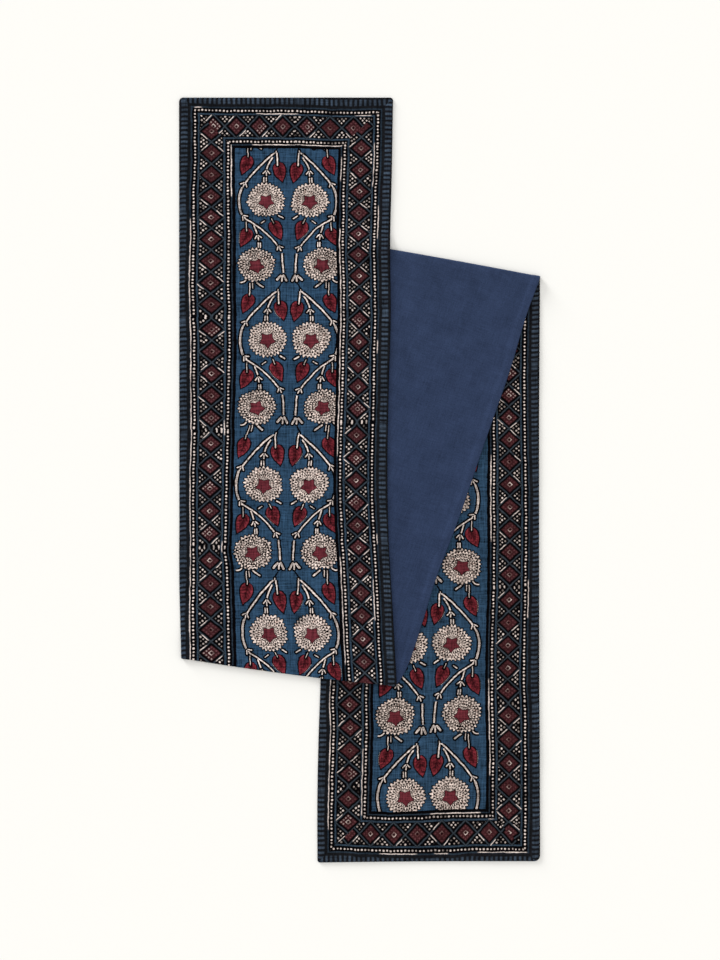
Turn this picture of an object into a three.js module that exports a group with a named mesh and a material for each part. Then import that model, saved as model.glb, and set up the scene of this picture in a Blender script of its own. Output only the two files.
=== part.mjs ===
// A block-printed cotton table runner with a plain cotton backing, lying folded back and forth in a slanted Z.
//
// Millimetres. X runs across the runner, Y along it towards its upper end, and Z up from the table. The origin
// is on the table, under the middle of the whole outline. The printed face and the backing are sewn together
// round their edges and turned out, so they lie on each other all the way: over the top lap with the print up,
// round the lower fold, back over the middle lap with the backing up, round the upper fold, and down the bottom
// lap with the print up.

import * as THREE from "three";

// The two cloths.
const CLOTH_THICKNESS = 1;
const CLOTH_GAP = 0.3; // between the face and the backing
const LAP_GAP = 0.8; // air between one lap and the next
const CORNER_DRAW = 2; // how far the turned-out corners are drawn in, each way

// The folds are pressed by hand only, so the laps spring apart a little beside them.
const FOLD_SPRING = 1.4;
const FOLD_SPRING_REACH = 70;

// Where a lap runs off the edge of a lap below, it stays up for a stretch and then drops softly to the table.
const MIDDLE_LAP_DROP = { clear: 22, run: 26 };
const TOP_LAP_DROP = { clear: 22, run: 26 };
const TOP_LAP_SECOND_DROP = { clear: 50, run: 30 };

// The four lines across the cloth, in order along it: its two ends and the two folds. Each is given by its
// middle, its width along the line, its slant (anticlockwise), and how far its middle bows towards +Y.
const CROSS_LINES = {
  topLapEnd: { x: -111.9, y: 581.4, width: 325.3, slantDeg: 0, bow: 0 },
  lowerFold: { x: -107.7, y: -292, width: 330.2, slantDeg: -7.4, bow: -3 },
  upperFold: { x: 109.7, y: 338.8, width: 334.8, slantDeg: -10.1, bow: 1.2 },
  bottomLapEnd: { x: 105, y: -580.4, width: 338.4, slantDeg: 0.35, bow: 0.8 },
};

// How far each lap's two long edges wander in X from a straight line between their ends.
// at is the share of the lap's length, in the order in which the cloth runs.
const TOP_LAP_EDGES = [
  { at: 0, left: 0, right: 0 },
  { at: 0.125, left: -0.3, right: -2.6 },
  { at: 0.25, left: -0.7, right: -5.9 },
  { at: 0.375, left: -1, right: -5.7 },
  { at: 0.5, left: -1.4, right: -9.6 },
  { at: 0.625, left: -1.7, right: -12.1 },
  { at: 0.75, left: -2.1, right: -11.1 },
  { at: 0.875, left: -2.4, right: -5.4 },
  { at: 1, left: 0, right: 0 },
];
const MIDDLE_LAP_EDGES = [
  { at: 0, left: 0, right: 0 },
  { at: 0.08, left: 1, right: 3.2 },
  { at: 0.25, left: 2, right: 1.8 },
  { at: 0.4, left: 3, right: 5.4 },
  { at: 0.6, left: 3, right: 4.2 },
  { at: 0.78, left: 2, right: 3.7 },
  { at: 0.92, left: 0.5, right: -0.8 },
  { at: 1, left: 0, right: 0 },
];
const BOTTOM_LAP_EDGES = [
  { at: 0, left: 0, right: 0 },
  { at: 0.25, left: 0.6, right: -1.3 },
  { at: 0.5, left: 1.4, right: -1.3 },
  { at: 0.7, left: 2.3, right: -1.1 },
  { at: 0.8, left: 0, right: -0.5 },
  { at: 0.9, left: -1, right: -0.2 },
  { at: 1, left: 0, right: 0 },
];

// How finely the cloth is divided.
const COLUMNS = 16;
const TOP_LAP_ROWS = 20;
const MIDDLE_LAP_ROWS = 17;
const BOTTOM_LAP_ROWS = 19;
const FOLD_ROWS = 6;

// Worked out from the sizes above.
const HALF_PACK = CLOTH_GAP / 2 + CLOTH_THICKNESS; // from the middle of the two cloths to either outer skin
const LAP_STEP = 2 * HALF_PACK + LAP_GAP; // from the middle of one lap to the middle of the next
const FOLD_DEPTH = (LAP_STEP + FOLD_SPRING) / 2 + HALF_PACK; // how far a fold's outer skin stands past its laps
const UP = new THREE.Vector3(0, 0, 1);
const { topLapEnd, lowerFold, upperFold, bottomLapEnd } = CROSS_LINES;

// A rise from 0 at t = 0 to 1 at t = 1, with no kink at either end.
function eased(t) {
  return THREE.MathUtils.smoothstep(t, 0, 1);
}

// The value of a table's column at a place between its rows, on a smooth curve through them.
function tableValue(table, column, at) {
  const last = table.length - 1;
  const found = table.findIndex((row) => at < row.at);
  const i = found < 0 ? last - 1 : found - 1;
  const slope = (a, b) => (table[b][column] - table[a][column]) / (table[b].at - table[a].at);
  const span = table[i + 1].at - table[i].at;
  const t = (at - table[i].at) / span;
  const slopeIn = slope(Math.max(i - 1, 0), i + 1) * span;
  const slopeOut = slope(i, Math.min(i + 2, last)) * span;
  const rise = table[i + 1][column] - table[i][column];
  const bend = (slopeIn - rise) * (1 - t) - (slopeOut - rise) * t;
  return table[i][column] + rise * t + t * (1 - t) * bend;
}

// The unit vector along a cross line, from the cloth's left edge to its right edge.
function along(line) {
  const slant = THREE.MathUtils.degToRad(line.slantDeg);
  return new THREE.Vector3(Math.cos(slant), Math.sin(slant), 0);
}

// The unit vector across a cross line, on its +Y side.
function across(line) {
  return UP.clone().cross(along(line));
}

// A point of a cross line. share runs from 0 at the left edge to 1 at the right edge.
function onLine(line, share) {
  const bow = line.bow * 4 * share * (1 - share);
  return new THREE.Vector3(line.x, line.y, 0)
    .addScaledVector(along(line), (share - 0.5) * line.width)
    .addScaledVector(across(line), bow);
}

// How far a point lies outside a lap seen from above, given the cross lines at its +Y end and its -Y end.
// It is negative inside the lap.
function outsideLap(point, upperLine, lowerLine) {
  const corners = [
    onLine(upperLine, 0),
    onLine(lowerLine, 0),
    onLine(lowerLine, 1),
    onLine(upperLine, 1),
  ];
  const distances = corners.map((corner, i) => {
    const side = corners[(i + 1) % corners.length].clone().sub(corner).normalize();
    const outward = side.cross(UP);
    return point.clone().sub(corner).dot(outward);
  });
  return Math.max(...distances);
}

// 1 over a lap and for a clear stretch past its edge, and then a soft drop to 0.
function lift(outside, drop) {
  return 1 - eased((outside - drop.clear) / drop.run);
}

// How far a fold's spring raises the lap above it, at a distance in from the fold.
function spring(point, line, inward) {
  const distance = point.clone().sub(onLine(line, 0.5)).dot(across(line)) * inward;
  return FOLD_SPRING * (1 - eased(Math.max(distance, 0) / FOLD_SPRING_REACH));
}

// The height of the middle of the two cloths at a point, for each lap.
function bottomLapHeight() {
  return HALF_PACK;
}

function middleLapHeight(point) {
  const overBottomLap = lift(outsideLap(point, upperFold, bottomLapEnd), MIDDLE_LAP_DROP);
  return HALF_PACK + LAP_STEP * overBottomLap + spring(point, upperFold, -1);
}

function topLapHeight(point) {
  const overMiddleLap = lift(outsideLap(point, upperFold, lowerFold), TOP_LAP_DROP);
  const overBottomLap = lift(outsideLap(point, upperFold, bottomLapEnd), TOP_LAP_SECOND_DROP);
  const middleLap = overMiddleLap * (LAP_STEP + spring(point, upperFold, -1));
  return HALF_PACK + middleLap + LAP_STEP * overBottomLap + spring(point, lowerFold, 1);
}

// Each fold turns the cloth from the lap above it to the lap below it, past the cross line's outward side.
const LOWER_FOLD = { line: lowerFold, outward: -1, above: topLapHeight, below: middleLapHeight };
const UPPER_FOLD = { line: upperFold, outward: 1, above: middleLapHeight, below: bottomLapHeight };

// One lengthwise thread's half turn round a fold: its centre, its radius, and the direction out of the fold.
function foldTurn(fold, share) {
  const outward = across(fold.line).multiplyScalar(fold.outward);
  const edge = onLine(fold.line, share);
  const start = edge.clone().addScaledVector(outward, -FOLD_DEPTH);
  const above = fold.above(start);
  const below = fold.below(start);
  const radius = (above - below) / 2;
  const centre = edge.addScaledVector(outward, -(radius + HALF_PACK));
  centre.z = (above + below) / 2;
  return { centre, radius, outward };
}

// The places of one lengthwise thread round a fold. Each is a point on the middle of the two cloths, with the
// direction in which the printed face lies.
function foldPlaces(fold, share, faceOutside) {
  const { centre, radius, outward } = foldTurn(fold, share);
  const places = [];
  for (let i = 0; i <= FOLD_ROWS; i++) {
    const turn = (Math.PI * i) / FOLD_ROWS;
    const radial = outward.clone().multiplyScalar(Math.sin(turn));
    radial.addScaledVector(UP, Math.cos(turn));
    const point = centre.clone().addScaledVector(radial, radius);
    places.push({ point, face: radial.multiplyScalar(faceOutside ? 1 : -1) });
  }
  return places;
}

// The places of one thread along a lap. A fold already holds the place that it shares with the lap, so an end
// of the lap is left out unless it is asked for.
function lapPlaces({ from, to, rows, edges, height, faceUp, share, withStart = false, withEnd = false }) {
  const places = [];
  for (let i = withStart ? 0 : 1; i <= (withEnd ? rows : rows - 1); i++) {
    const at = i / rows;
    const left = tableValue(edges, "left", at);
    const right = tableValue(edges, "right", at);
    const point = from.clone().lerp(to, at);
    point.x += THREE.MathUtils.lerp(left, right, share);
    point.z = 0;
    point.z = height(point);
    places.push({ point, face: UP.clone().multiplyScalar(faceUp ? 1 : -1) });
  }
  return places;
}

// All the places along one lengthwise thread, from the end of the top lap to the end of the bottom lap.
function threadPlaces(share) {
  const lowerTurn = foldPlaces(LOWER_FOLD, share, true);
  const upperTurn = foldPlaces(UPPER_FOLD, share, false);
  const topLap = lapPlaces({
    from: onLine(topLapEnd, share),
    to: lowerTurn[0].point,
    rows: TOP_LAP_ROWS,
    edges: TOP_LAP_EDGES,
    height: topLapHeight,
    faceUp: true,
    share,
    withStart: true,
  });
  const middleLap = lapPlaces({
    from: lowerTurn[FOLD_ROWS].point,
    to: upperTurn[0].point,
    rows: MIDDLE_LAP_ROWS,
    edges: MIDDLE_LAP_EDGES,
    height: middleLapHeight,
    faceUp: false,
    share,
  });
  const bottomLap = lapPlaces({
    from: upperTurn[FOLD_ROWS].point,
    to: onLine(bottomLapEnd, share),
    rows: BOTTOM_LAP_ROWS,
    edges: BOTTOM_LAP_EDGES,
    height: bottomLapHeight,
    faceUp: true,
    share,
    withEnd: true,
  });
  const onEdge = share === 0 || share === 1;
  if (onEdge) {
    const inward = Math.sign(0.5 - share) * CORNER_DRAW;
    topLap[0].point.add(new THREE.Vector3(inward, -CORNER_DRAW, 0));
    bottomLap.at(-1).point.add(new THREE.Vector3(inward, CORNER_DRAW, 0));
  }
  return [...topLap, ...lowerTurn, ...middleLap, ...upperTurn, ...bottomLap];
}

// The closed body of one cloth, between two distances from the middle of the pair, measured towards the face.
function clothGeometry(threads, lowSide, highSide) {
  const rows = threads[0].length;
  const corner = (column, row, side) => (column * rows + row) * 2 + side;
  const positions = [];
  for (const { point, face } of threads.flat()) {
    for (const side of [lowSide, highSide]) {
      positions.push(...point.clone().addScaledVector(face, side));
    }
  }
  const indices = [];
  const quad = (a, b, c, d) => indices.push(a, b, c, a, c, d);
  const strip = (column, row, nextColumn, nextRow) => {
    quad(
      corner(column, row, 0),
      corner(nextColumn, nextRow, 0),
      corner(nextColumn, nextRow, 1),
      corner(column, row, 1),
    );
  };
  for (let c = 0; c < COLUMNS; c++) {
    for (let r = 0; r < rows - 1; r++) {
      quad(corner(c, r, 1), corner(c, r + 1, 1), corner(c + 1, r + 1, 1), corner(c + 1, r, 1));
      quad(corner(c, r, 0), corner(c + 1, r, 0), corner(c + 1, r + 1, 0), corner(c, r + 1, 0));
    }
  }
  for (let r = 0; r < rows - 1; r++) {
    strip(0, r, 0, r + 1);
    strip(COLUMNS, r + 1, COLUMNS, r);
  }
  for (let c = 0; c < COLUMNS; c++) {
    strip(c, rows - 1, c + 1, rows - 1);
    strip(c + 1, 0, c, 0);
  }
  const geometry = new THREE.BufferGeometry();
  geometry.setAttribute("position", new THREE.Float32BufferAttribute(positions, 3));
  geometry.setIndex(indices);
  geometry.computeVertexNormals();
  return geometry;
}

function printedFace(threads) {
  const material = new THREE.MeshStandardMaterial({ color: 0x37404f, roughness: 0.92, metalness: 0 });
  const mesh = new THREE.Mesh(clothGeometry(threads, CLOTH_GAP / 2, HALF_PACK), material);
  mesh.name = "printed_face";
  return mesh;
}

function plainBacking(threads) {
  const material = new THREE.MeshStandardMaterial({ color: 0x323e58, roughness: 0.94, metalness: 0 });
  const mesh = new THREE.Mesh(clothGeometry(threads, -HALF_PACK, -CLOTH_GAP / 2), material);
  mesh.name = "plain_backing";
  return mesh;
}

const threads = Array.from({ length: COLUMNS + 1 }, (_, column) => threadPlaces(column / COLUMNS));
const runner = new THREE.Group();
runner.add(printedFace(threads), plainBacking(threads));

export default runner;
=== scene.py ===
import cmath
import math

import bpy
import numpy as np
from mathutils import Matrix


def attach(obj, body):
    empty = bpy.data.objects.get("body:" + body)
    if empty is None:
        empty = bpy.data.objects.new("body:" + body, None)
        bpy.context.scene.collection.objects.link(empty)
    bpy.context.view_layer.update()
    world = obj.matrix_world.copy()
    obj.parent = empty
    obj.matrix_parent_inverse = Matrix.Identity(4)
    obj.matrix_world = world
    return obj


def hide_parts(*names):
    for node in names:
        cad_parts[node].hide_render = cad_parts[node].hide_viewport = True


# A block-printed cotton table runner, backed with plain navy cotton and folded back and forth in a slanted Z.
# The print is up on the top lap and the bottom lap, and the backing is up on the middle lap between them.
#
# Sizes are millimetres, and MM turns them into Blender's metres where a cloth's mesh is made. The sizes of
# the table, the light and the camera are metres. X runs across the runner, Y along it towards its upper end,
# and Z up from the table.

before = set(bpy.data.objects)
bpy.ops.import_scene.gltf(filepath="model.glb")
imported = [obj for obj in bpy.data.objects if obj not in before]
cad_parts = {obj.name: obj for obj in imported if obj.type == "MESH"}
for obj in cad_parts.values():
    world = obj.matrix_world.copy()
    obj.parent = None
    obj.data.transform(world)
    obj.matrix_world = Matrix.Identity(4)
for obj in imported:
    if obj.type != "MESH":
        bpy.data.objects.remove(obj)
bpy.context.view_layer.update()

MM = 0.001

# The two cloths, sewn together round the edges and turned out, so the seam allowances lie inside the edges.
CLOTH_LENGTH = 2456.0
HALF_PACK = 0.6  # from the middle of the two cloths to either outer skin
SEAM_SWELL = 0.5  # what the seam allowance inside adds to that
SEAM_WIDTH = 9.0
SEAM_FADE = 5.0
BRIDGED_FADE = 15.0  # the same where another lap lies over it
EDGE_ROLL = 1.1  # radius of the turned-out edge
FACE_GAP = 0.04  # from the middle of the two cloths to either inner skin
LAP_GAP = 0.12  # air between a lap and the lap that it rests on
TABLE_GAP = 0.1

# How high the soft waves of each lap stand off what it lies on.
TOP_LAP_WAVES = 0.7
MIDDLE_LAP_WAVES = 0.5
BOTTOM_LAP_WAVES = 0.8
# The waves cross in pairs. Each pair: its share of the height, and two waves. Each wave: its length, its
# angle in degrees, what each lap from the table up adds to that, its phase, and what each lap adds to that.
WAVE_PAIRS = [
    (0.55, (171, 17, 40, 1.3, 1), (118, 101, 23, 0.4, 2)),
    (0.3, (63, 64, 31, 0, 2.2), (83, 141, -19, 0.9, 1)),
    (0.1, (31, 82, 9, 0, 0.5), (47, 7, 13, 1.1, 1)),
]

# The folds are pressed by hand only, so they stand open a little.
UPPER_FOLD_SPRING = 2.0
LOWER_FOLD_SPRING = 0.6
FOLD_SPRING_REACH = 62.0
FOLD_DEPTH = 3.2
FOLD_ROWS = 18

# Where a lap runs off the edge of what is below it, it drops softly to the table.
DROP_CLEAR = 1.5
DROP_RUN = 13.0
DROP_RUN_PER_HEIGHT = 3.2

# The four lines across the cloth: its two ends and the two folds.
CROSS_LINES = {
    "top_lap_end": {"x": -111.9, "y": 581.4, "width": 325.3, "slant": 0.0, "bow": 0.0},
    "lower_fold": {"x": -107.7, "y": -292.0, "width": 330.2, "slant": -7.4, "bow": -3.0},
    "upper_fold": {"x": 109.7, "y": 338.8, "width": 334.8, "slant": -10.1, "bow": 1.2},
    "bottom_lap_end": {"x": 105.0, "y": -580.4, "width": 338.4, "slant": 0.35, "bow": 0.8},
}

# How far each lap's long edges wander in X from a straight line between their ends: at, left, right.
TOP_LAP_EDGES = [
    (0.0, 0.0, 0.0),
    (0.125, -0.3, -2.6),
    (0.25, -0.7, -5.9),
    (0.375, -1.0, -5.7),
    (0.5, -1.4, -9.6),
    (0.625, -1.7, -12.1),
    (0.75, -2.1, -11.1),
    (0.875, -2.4, -5.4),
    (1.0, 0.0, 0.0),
]
MIDDLE_LAP_EDGES = [
    (0.0, 0.0, 0.0),
    (0.02, 0.3, 4.2),
    (0.05, 0.6, 7.0),
    (0.09, 1.1, 7.0),
    (0.17, 1.6, 5.4),
    (0.25, 2.0, 3.2),
    (0.4, 3.0, 5.4),
    (0.6, 3.0, 4.2),
    (0.78, 2.0, 3.7),
    (0.92, 0.5, -0.8),
    (1.0, 0.0, 0.0),
]
BOTTOM_LAP_EDGES = [
    (0.0, 0.0, 0.0),
    (0.25, 0.6, -1.3),
    (0.5, 1.4, -1.3),
    (0.7, 2.3, -1.1),
    (0.8, 0.0, -0.5),
    (0.9, -1.0, -0.2),
    (1.0, 0.0, 0.0),
]

# Radii of the turned-out corners: the two of the top lap's end, then the two of the bottom lap's end.
CORNER_RADII = {"top": (6.5, 4.5), "bottom": (4.0, 9.0)}

# How finely the cloth is divided: close steps in from each edge, and even ones past them.
EDGE_STEPS = [0, 0.3, 0.7, 1.1, 2.2, 4, 6, 8.5, 11, 13.5, 17, 21, 25.5, 30, 35, 40, 45, 50, 55, 60, 65, 69]
FIELD_COLUMNS = 32
ROW_STEP = 6.0


# ---------------------------------------------------------------------------------------------------------
# The folds' plan, worked out on whole grids of points at a time


def eased(t):
    """A rise from 0 at t = 0 to 1 at t = 1, with no kink at either end."""
    t = np.clip(t, 0, 1)
    return t * t * (3 - 2 * t)


def mixed(a, b, t):
    return a + (b - a) * t


def smooth_table(table, column, at):
    """A table's column at places between its rows, on a smooth curve through them."""
    rows = np.array(table, float)
    x = rows[:, 0]
    y = rows[:, column]
    slope = np.gradient(y, x)
    i = np.clip(np.searchsorted(x, at, side="right") - 1, 0, len(x) - 2)
    span = x[i + 1] - x[i]
    t = (at - x[i]) / span
    rise = y[i + 1] - y[i]
    bend = (slope[i] * span - rise) * (1 - t) - (slope[i + 1] * span - rise) * t
    return y[i] + rise * t + t * (1 - t) * bend


class CrossLine:
    """A line across the cloth, from its left edge at share 0 to its right edge at share 1."""

    def __init__(self, x, y, width, slant, bow):
        angle = math.radians(slant)
        self.middle = np.array([x, y])
        self.along = np.array([math.cos(angle), math.sin(angle)])
        self.across = np.array([-math.sin(angle), math.cos(angle)])
        self.width = width
        self.bow = bow

    def point(self, share):
        share = np.asarray(share, float)[..., None]
        bow = self.bow * 4 * share * (1 - share)
        return self.middle + (share - 0.5) * self.width * self.along + bow * self.across

    def beyond(self, xy):
        """How far points lie on the +Y side of the line."""
        return (xy - self.middle) @ self.across


class Lap:
    """One stretch of cloth between two cross lines, the first of them the one that it starts from."""

    def __init__(self, start, end, edges):
        self.start = start
        self.end = end
        self.edges = edges

    def wander(self, share, at):
        left = smooth_table(self.edges, 1, at)
        right = smooth_table(self.edges, 2, at)
        return mixed(left, right, share)

    def width(self, at):
        left = mixed(self.start.point(0.0), self.end.point(0.0), at[..., None])
        right = mixed(self.start.point(1.0), self.end.point(1.0), at[..., None])
        gap = right - left
        return np.hypot(gap[..., 0] + self.wander(1.0, at) - self.wander(0.0, at), gap[..., 1])

    def outside(self, xy):
        """How far points lie outside the lap seen from above. It is negative inside."""
        upward = 1 if self.end.middle[1] > self.start.middle[1] else -1
        past_start = -self.start.beyond(xy) * upward
        past_end = self.end.beyond(xy) * upward
        at = np.clip(past_start / (past_start + past_end - 1e-9), 0, 1)
        left = mixed(self.start.point(0.0), self.end.point(0.0), at[..., None])[..., 0]
        right = mixed(self.start.point(1.0), self.end.point(1.0), at[..., None])[..., 0]
        run = self.end.middle - self.start.middle
        squint = abs(run[1]) / math.hypot(*run)
        past_left = (left + self.wander(0.0, at) - xy[..., 0]) * squint
        past_right = (xy[..., 0] - right - self.wander(1.0, at)) * squint
        return np.maximum.reduce([past_left, past_right, past_start, past_end])


top_lap_end, lower_fold, upper_fold, bottom_lap_end = [CrossLine(**line) for line in CROSS_LINES.values()]
TOP_LAP = Lap(top_lap_end, lower_fold, TOP_LAP_EDGES)
MIDDLE_LAP = Lap(lower_fold, upper_fold, MIDDLE_LAP_EDGES)
BOTTOM_LAP = Lap(upper_fold, bottom_lap_end, BOTTOM_LAP_EDGES)


def wave(xy, lap_number, length, angle, angle_step, phase, phase_step):
    """A long low wave over the plan, between 0 and 1."""
    angle = math.radians(angle + angle_step * lap_number)
    phase = phase + phase_step * lap_number
    direction = np.array([math.cos(angle), math.sin(angle)])
    return 0.5 + 0.5 * np.sin(2 * math.pi * (xy @ direction) / length + phase)


def unevenness(xy, lap_number):
    """How hand-washed cotton stands off what it lies on, in soft patches between 0 and 1."""
    pairs = [(share, wave(xy, lap_number, *a) * wave(xy, lap_number, *b)) for share, a, b in WAVE_PAIRS]
    return sum(share * crossed for share, crossed in pairs)


def seam_swell(inside):
    """The extra half thickness over the seam allowance, by the distance in from the edge."""
    return SEAM_SWELL * (1 - eased((inside - SEAM_WIDTH) / SEAM_FADE))


def carried(outside, above):
    """The share of its full height at which a lap is held past the edge of what it lies on."""
    run = DROP_RUN + DROP_RUN_PER_HEIGHT * above
    return 1 - eased((outside - DROP_CLEAR) / run)


def spring(xy, line, inward, height):
    """How far a fold's spring raises the lap above it."""
    return height * (1 - eased(np.maximum(line.beyond(xy) * inward, 0) / FOLD_SPRING_REACH))


def soft_swell(outside):
    """What a lap's seams add under a lap that lies over them: it bridges the step inside them."""
    return SEAM_SWELL * (1 - eased((-outside - SEAM_WIDTH) / BRIDGED_FADE))


def bottom_bed(xy):
    """The height of what the bottom lap lies on: the table, and the air that its own waves hold."""
    return TABLE_GAP + BOTTOM_LAP_WAVES * unevenness(xy, 1)


def middle_bed(xy):
    """The height of what the middle lap lies on: the bottom lap, and the table where it runs off that."""
    outside = BOTTOM_LAP.outside(xy)
    above = bottom_bed(xy) + 2 * (HALF_PACK + soft_swell(outside)) + LAP_GAP
    held = carried(outside, above)
    sprung = spring(xy, upper_fold, -1, UPPER_FOLD_SPRING)
    return mixed(TABLE_GAP, above, held) + MIDDLE_LAP_WAVES * unevenness(xy, 2) + sprung


def top_bed(xy):
    """The height of what the top lap lies on: the middle lap, and the table where it runs off that."""
    outside = MIDDLE_LAP.outside(xy)
    above = middle_bed(xy) + 2 * (HALF_PACK + soft_swell(outside)) + LAP_GAP
    held = carried(outside, above)
    sprung = spring(xy, lower_fold, 1, LOWER_FOLD_SPRING)
    return mixed(TABLE_GAP, above, held) + TOP_LAP_WAVES * unevenness(xy, 3) + sprung


# ---------------------------------------------------------------------------------------------------------
# The grid of places over the cloth. Every array is rows x columns, with the rows in the order in which the
# cloth runs: down the top lap, round the lower fold, up the middle lap, round the upper fold, and down again.
# These are the numbers of the middle lap and the folds among those five parts.
LOWER_FOLD_PART = 1
MIDDLE_LAP_PART = 2
UPPER_FOLD_PART = 3


def fold_turn(line, outward, above, below, share):
    """The half turn of the cloth round a fold: its centre seen from above, its radius and its height."""
    edge = line.point(share)
    start = edge - outward * FOLD_DEPTH * line.across
    high = above(start) + HALF_PACK
    low = below(start) + HALF_PACK
    radius = (high - low) / 2
    centre = edge - outward * (radius + HALF_PACK)[..., None] * line.across
    return centre, radius, (high + low) / 2


def lower_turn(share):
    return fold_turn(lower_fold, -1, top_bed, middle_bed, share)


def upper_turn(share):
    return fold_turn(upper_fold, 1, middle_bed, bottom_bed, share)


def lower_centre(share):
    return lower_turn(share)[0]


def upper_centre(share):
    return upper_turn(share)[0]


def side_distances(width):
    """Distances of the columns from the left edge, close together near both edges."""
    steps = np.array(EDGE_STEPS, float)
    field = np.linspace(0, 1, FIELD_COLUMNS + 1)[1:-1]
    width = width[:, None]
    left = np.broadcast_to(steps, (len(width), len(steps)))
    return np.hstack([left, steps[-1] + (width - 2 * steps[-1]) * field, width - steps[::-1]])


def rounded_corner(side, end, radius):
    """Moves the places by a square corner onto a round one, and gives how deep inside each one lies."""
    u = np.clip((radius - side) / radius, 0, 1)
    v = np.clip((radius - end) / radius, 0, 1)
    near = (u > 0) & (v > 0)
    round_u = u * np.sqrt(1 - v * v / 2)
    round_v = v * np.sqrt(1 - u * u / 2)
    depth = np.where(near, radius * (1 - np.hypot(round_u, round_v)), np.minimum(side, end))
    return np.where(near, radius * (1 - round_u), side), np.where(near, radius * (1 - round_v), end), depth


def lap_places(lap, start, end, bed, cloth_end=None, radii=None, rounded=True):
    """The places over one lap. cloth_end says which end of the lap, if any, is an end of the cloth."""
    share = np.linspace(0, 1, 2 * len(EDGE_STEPS) + FIELD_COLUMNS - 1)
    length = np.hypot(*np.moveaxis(end(share) - start(share), -1, 0))
    if cloth_end is None:
        at = np.repeat(np.linspace(0, 1, round(length.mean() / ROW_STEP))[1:-1, None], len(share), axis=1)
    else:
        close = np.array(EDGE_STEPS, float)[:, None] / length
        rows = round((length.mean() - EDGE_STEPS[-1]) / ROW_STEP)
        rest = mixed(close[-1], 1.0, np.linspace(0, 1, rows)[1:-1, None])
        at = np.vstack([close, rest])
    if cloth_end == "end":
        at = 1 - at[::-1]
    width = lap.width(at.mean(axis=1))
    left = side_distances(width)
    width = width[:, None]
    side = np.minimum(left, width - left)
    on_left = left < width / 2
    depth = side
    if cloth_end is not None:
        from_end = (at if cloth_end == "start" else 1 - at) * length
        radius = np.where(on_left, *radii)
        new_side, new_end, depth = rounded_corner(side, from_end, radius)
        if rounded:
            side = new_side
            at = new_end / length if cloth_end == "start" else 1 - new_end / length
    share = np.where(on_left, side, width - side) / width
    xy = mixed(start(share), end(share), at[..., None])
    xy[..., 0] += lap.wander(share, at)
    flat = HALF_PACK + seam_swell(depth)
    middle = np.dstack([xy, bed(xy) + flat])
    return {
        "middle": middle,
        "flat": flat,
        "depth": depth,
        "left": share * width,
        "right": (1 - share) * width,
    }


def fold_places(line, outward, turn):
    """The places round one fold, from the lap above it to the lap below it."""
    width = line.width
    left = side_distances(np.full(FOLD_ROWS + 1, width))
    centre, radius, height = turn(left / width)
    angle = np.linspace(0, math.pi, FOLD_ROWS + 1)[:, None]
    xy = centre + outward * (radius * np.sin(angle))[..., None] * line.across
    middle = np.dstack([xy, height + radius * np.cos(angle)])
    depth = np.minimum(left, width - left)
    return {
        "middle": middle,
        "flat": HALF_PACK + seam_swell(depth),
        "depth": depth,
        "left": left,
        "right": width - left,
    }


def cloth_places(rounded):
    """All the places over the cloth. rounded says whether its corners are turned out round."""
    top_end = top_lap_end.point
    bottom_end = bottom_lap_end.point
    parts = [
        lap_places(TOP_LAP, top_end, lower_centre, top_bed, "start", CORNER_RADII["top"], rounded),
        fold_places(lower_fold, -1, lower_turn),
        lap_places(MIDDLE_LAP, lower_centre, upper_centre, middle_bed),
        fold_places(upper_fold, 1, upper_turn),
        lap_places(BOTTOM_LAP, upper_centre, bottom_end, bottom_bed, "end", CORNER_RADII["bottom"], rounded),
    ]
    places = {name: np.concatenate([part[name] for part in parts]) for name in parts[0]}
    places["part"] = np.repeat(np.arange(len(parts)), [len(part["flat"]) for part in parts])
    return places


def lengthwise(places):
    """The distance of each place from the start of the cloth, as the print was set out before the folding."""
    steps = np.linalg.norm(np.diff(places["middle"], axis=0), axis=2)
    run = np.vstack([np.zeros(steps.shape[1]), np.cumsum(steps, axis=0)])
    from_end = CLOTH_LENGTH - (run[-1] - run)
    first = np.flatnonzero(places["part"] == LOWER_FOLD_PART)[-1]
    last = np.flatnonzero(places["part"] == UPPER_FOLD_PART)[0]
    share = (run - run[first]) / (run[last] - run[first])
    between = mixed(run[first], from_end[last], share)
    part = places["part"][:, None]
    return np.where(part < MIDDLE_LAP_PART, run, np.where(part > MIDDLE_LAP_PART, from_end, between))


# ---------------------------------------------------------------------------------------------------------
# The two cloths as closed meshes


def face_directions(places):
    """The way in which the printed face looks, at each place."""
    down = np.gradient(places["middle"], axis=0)
    right = np.gradient(places["middle"], axis=1)
    out = np.cross(down, right)
    return out / np.linalg.norm(out, axis=2, keepdims=True)


def grid_faces(rows, columns):
    """The corners of a closed double skin: the outer skin, the inner skin, and the strip round their rims."""
    outer = np.arange(rows * columns).reshape(rows, columns)
    inner = outer + rows * columns

    def skin(grid):
        return np.stack([grid[:-1, :-1], grid[1:, :-1], grid[1:, 1:], grid[:-1, 1:]], axis=-1).reshape(-1, 4)

    def strip(a, b):
        return np.stack([a[:-1], b[:-1], b[1:], a[1:]], axis=-1)

    rim_outer = np.concatenate([outer[:, 0], outer[-1, 1:], outer[-2::-1, -1], outer[0, -2::-1]])
    rim_inner = np.concatenate([inner[:, 0], inner[-1, 1:], inner[-2::-1, -1], inner[0, -2::-1]])
    return skin(outer), skin(inner)[:, ::-1], strip(rim_outer, rim_inner)


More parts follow.
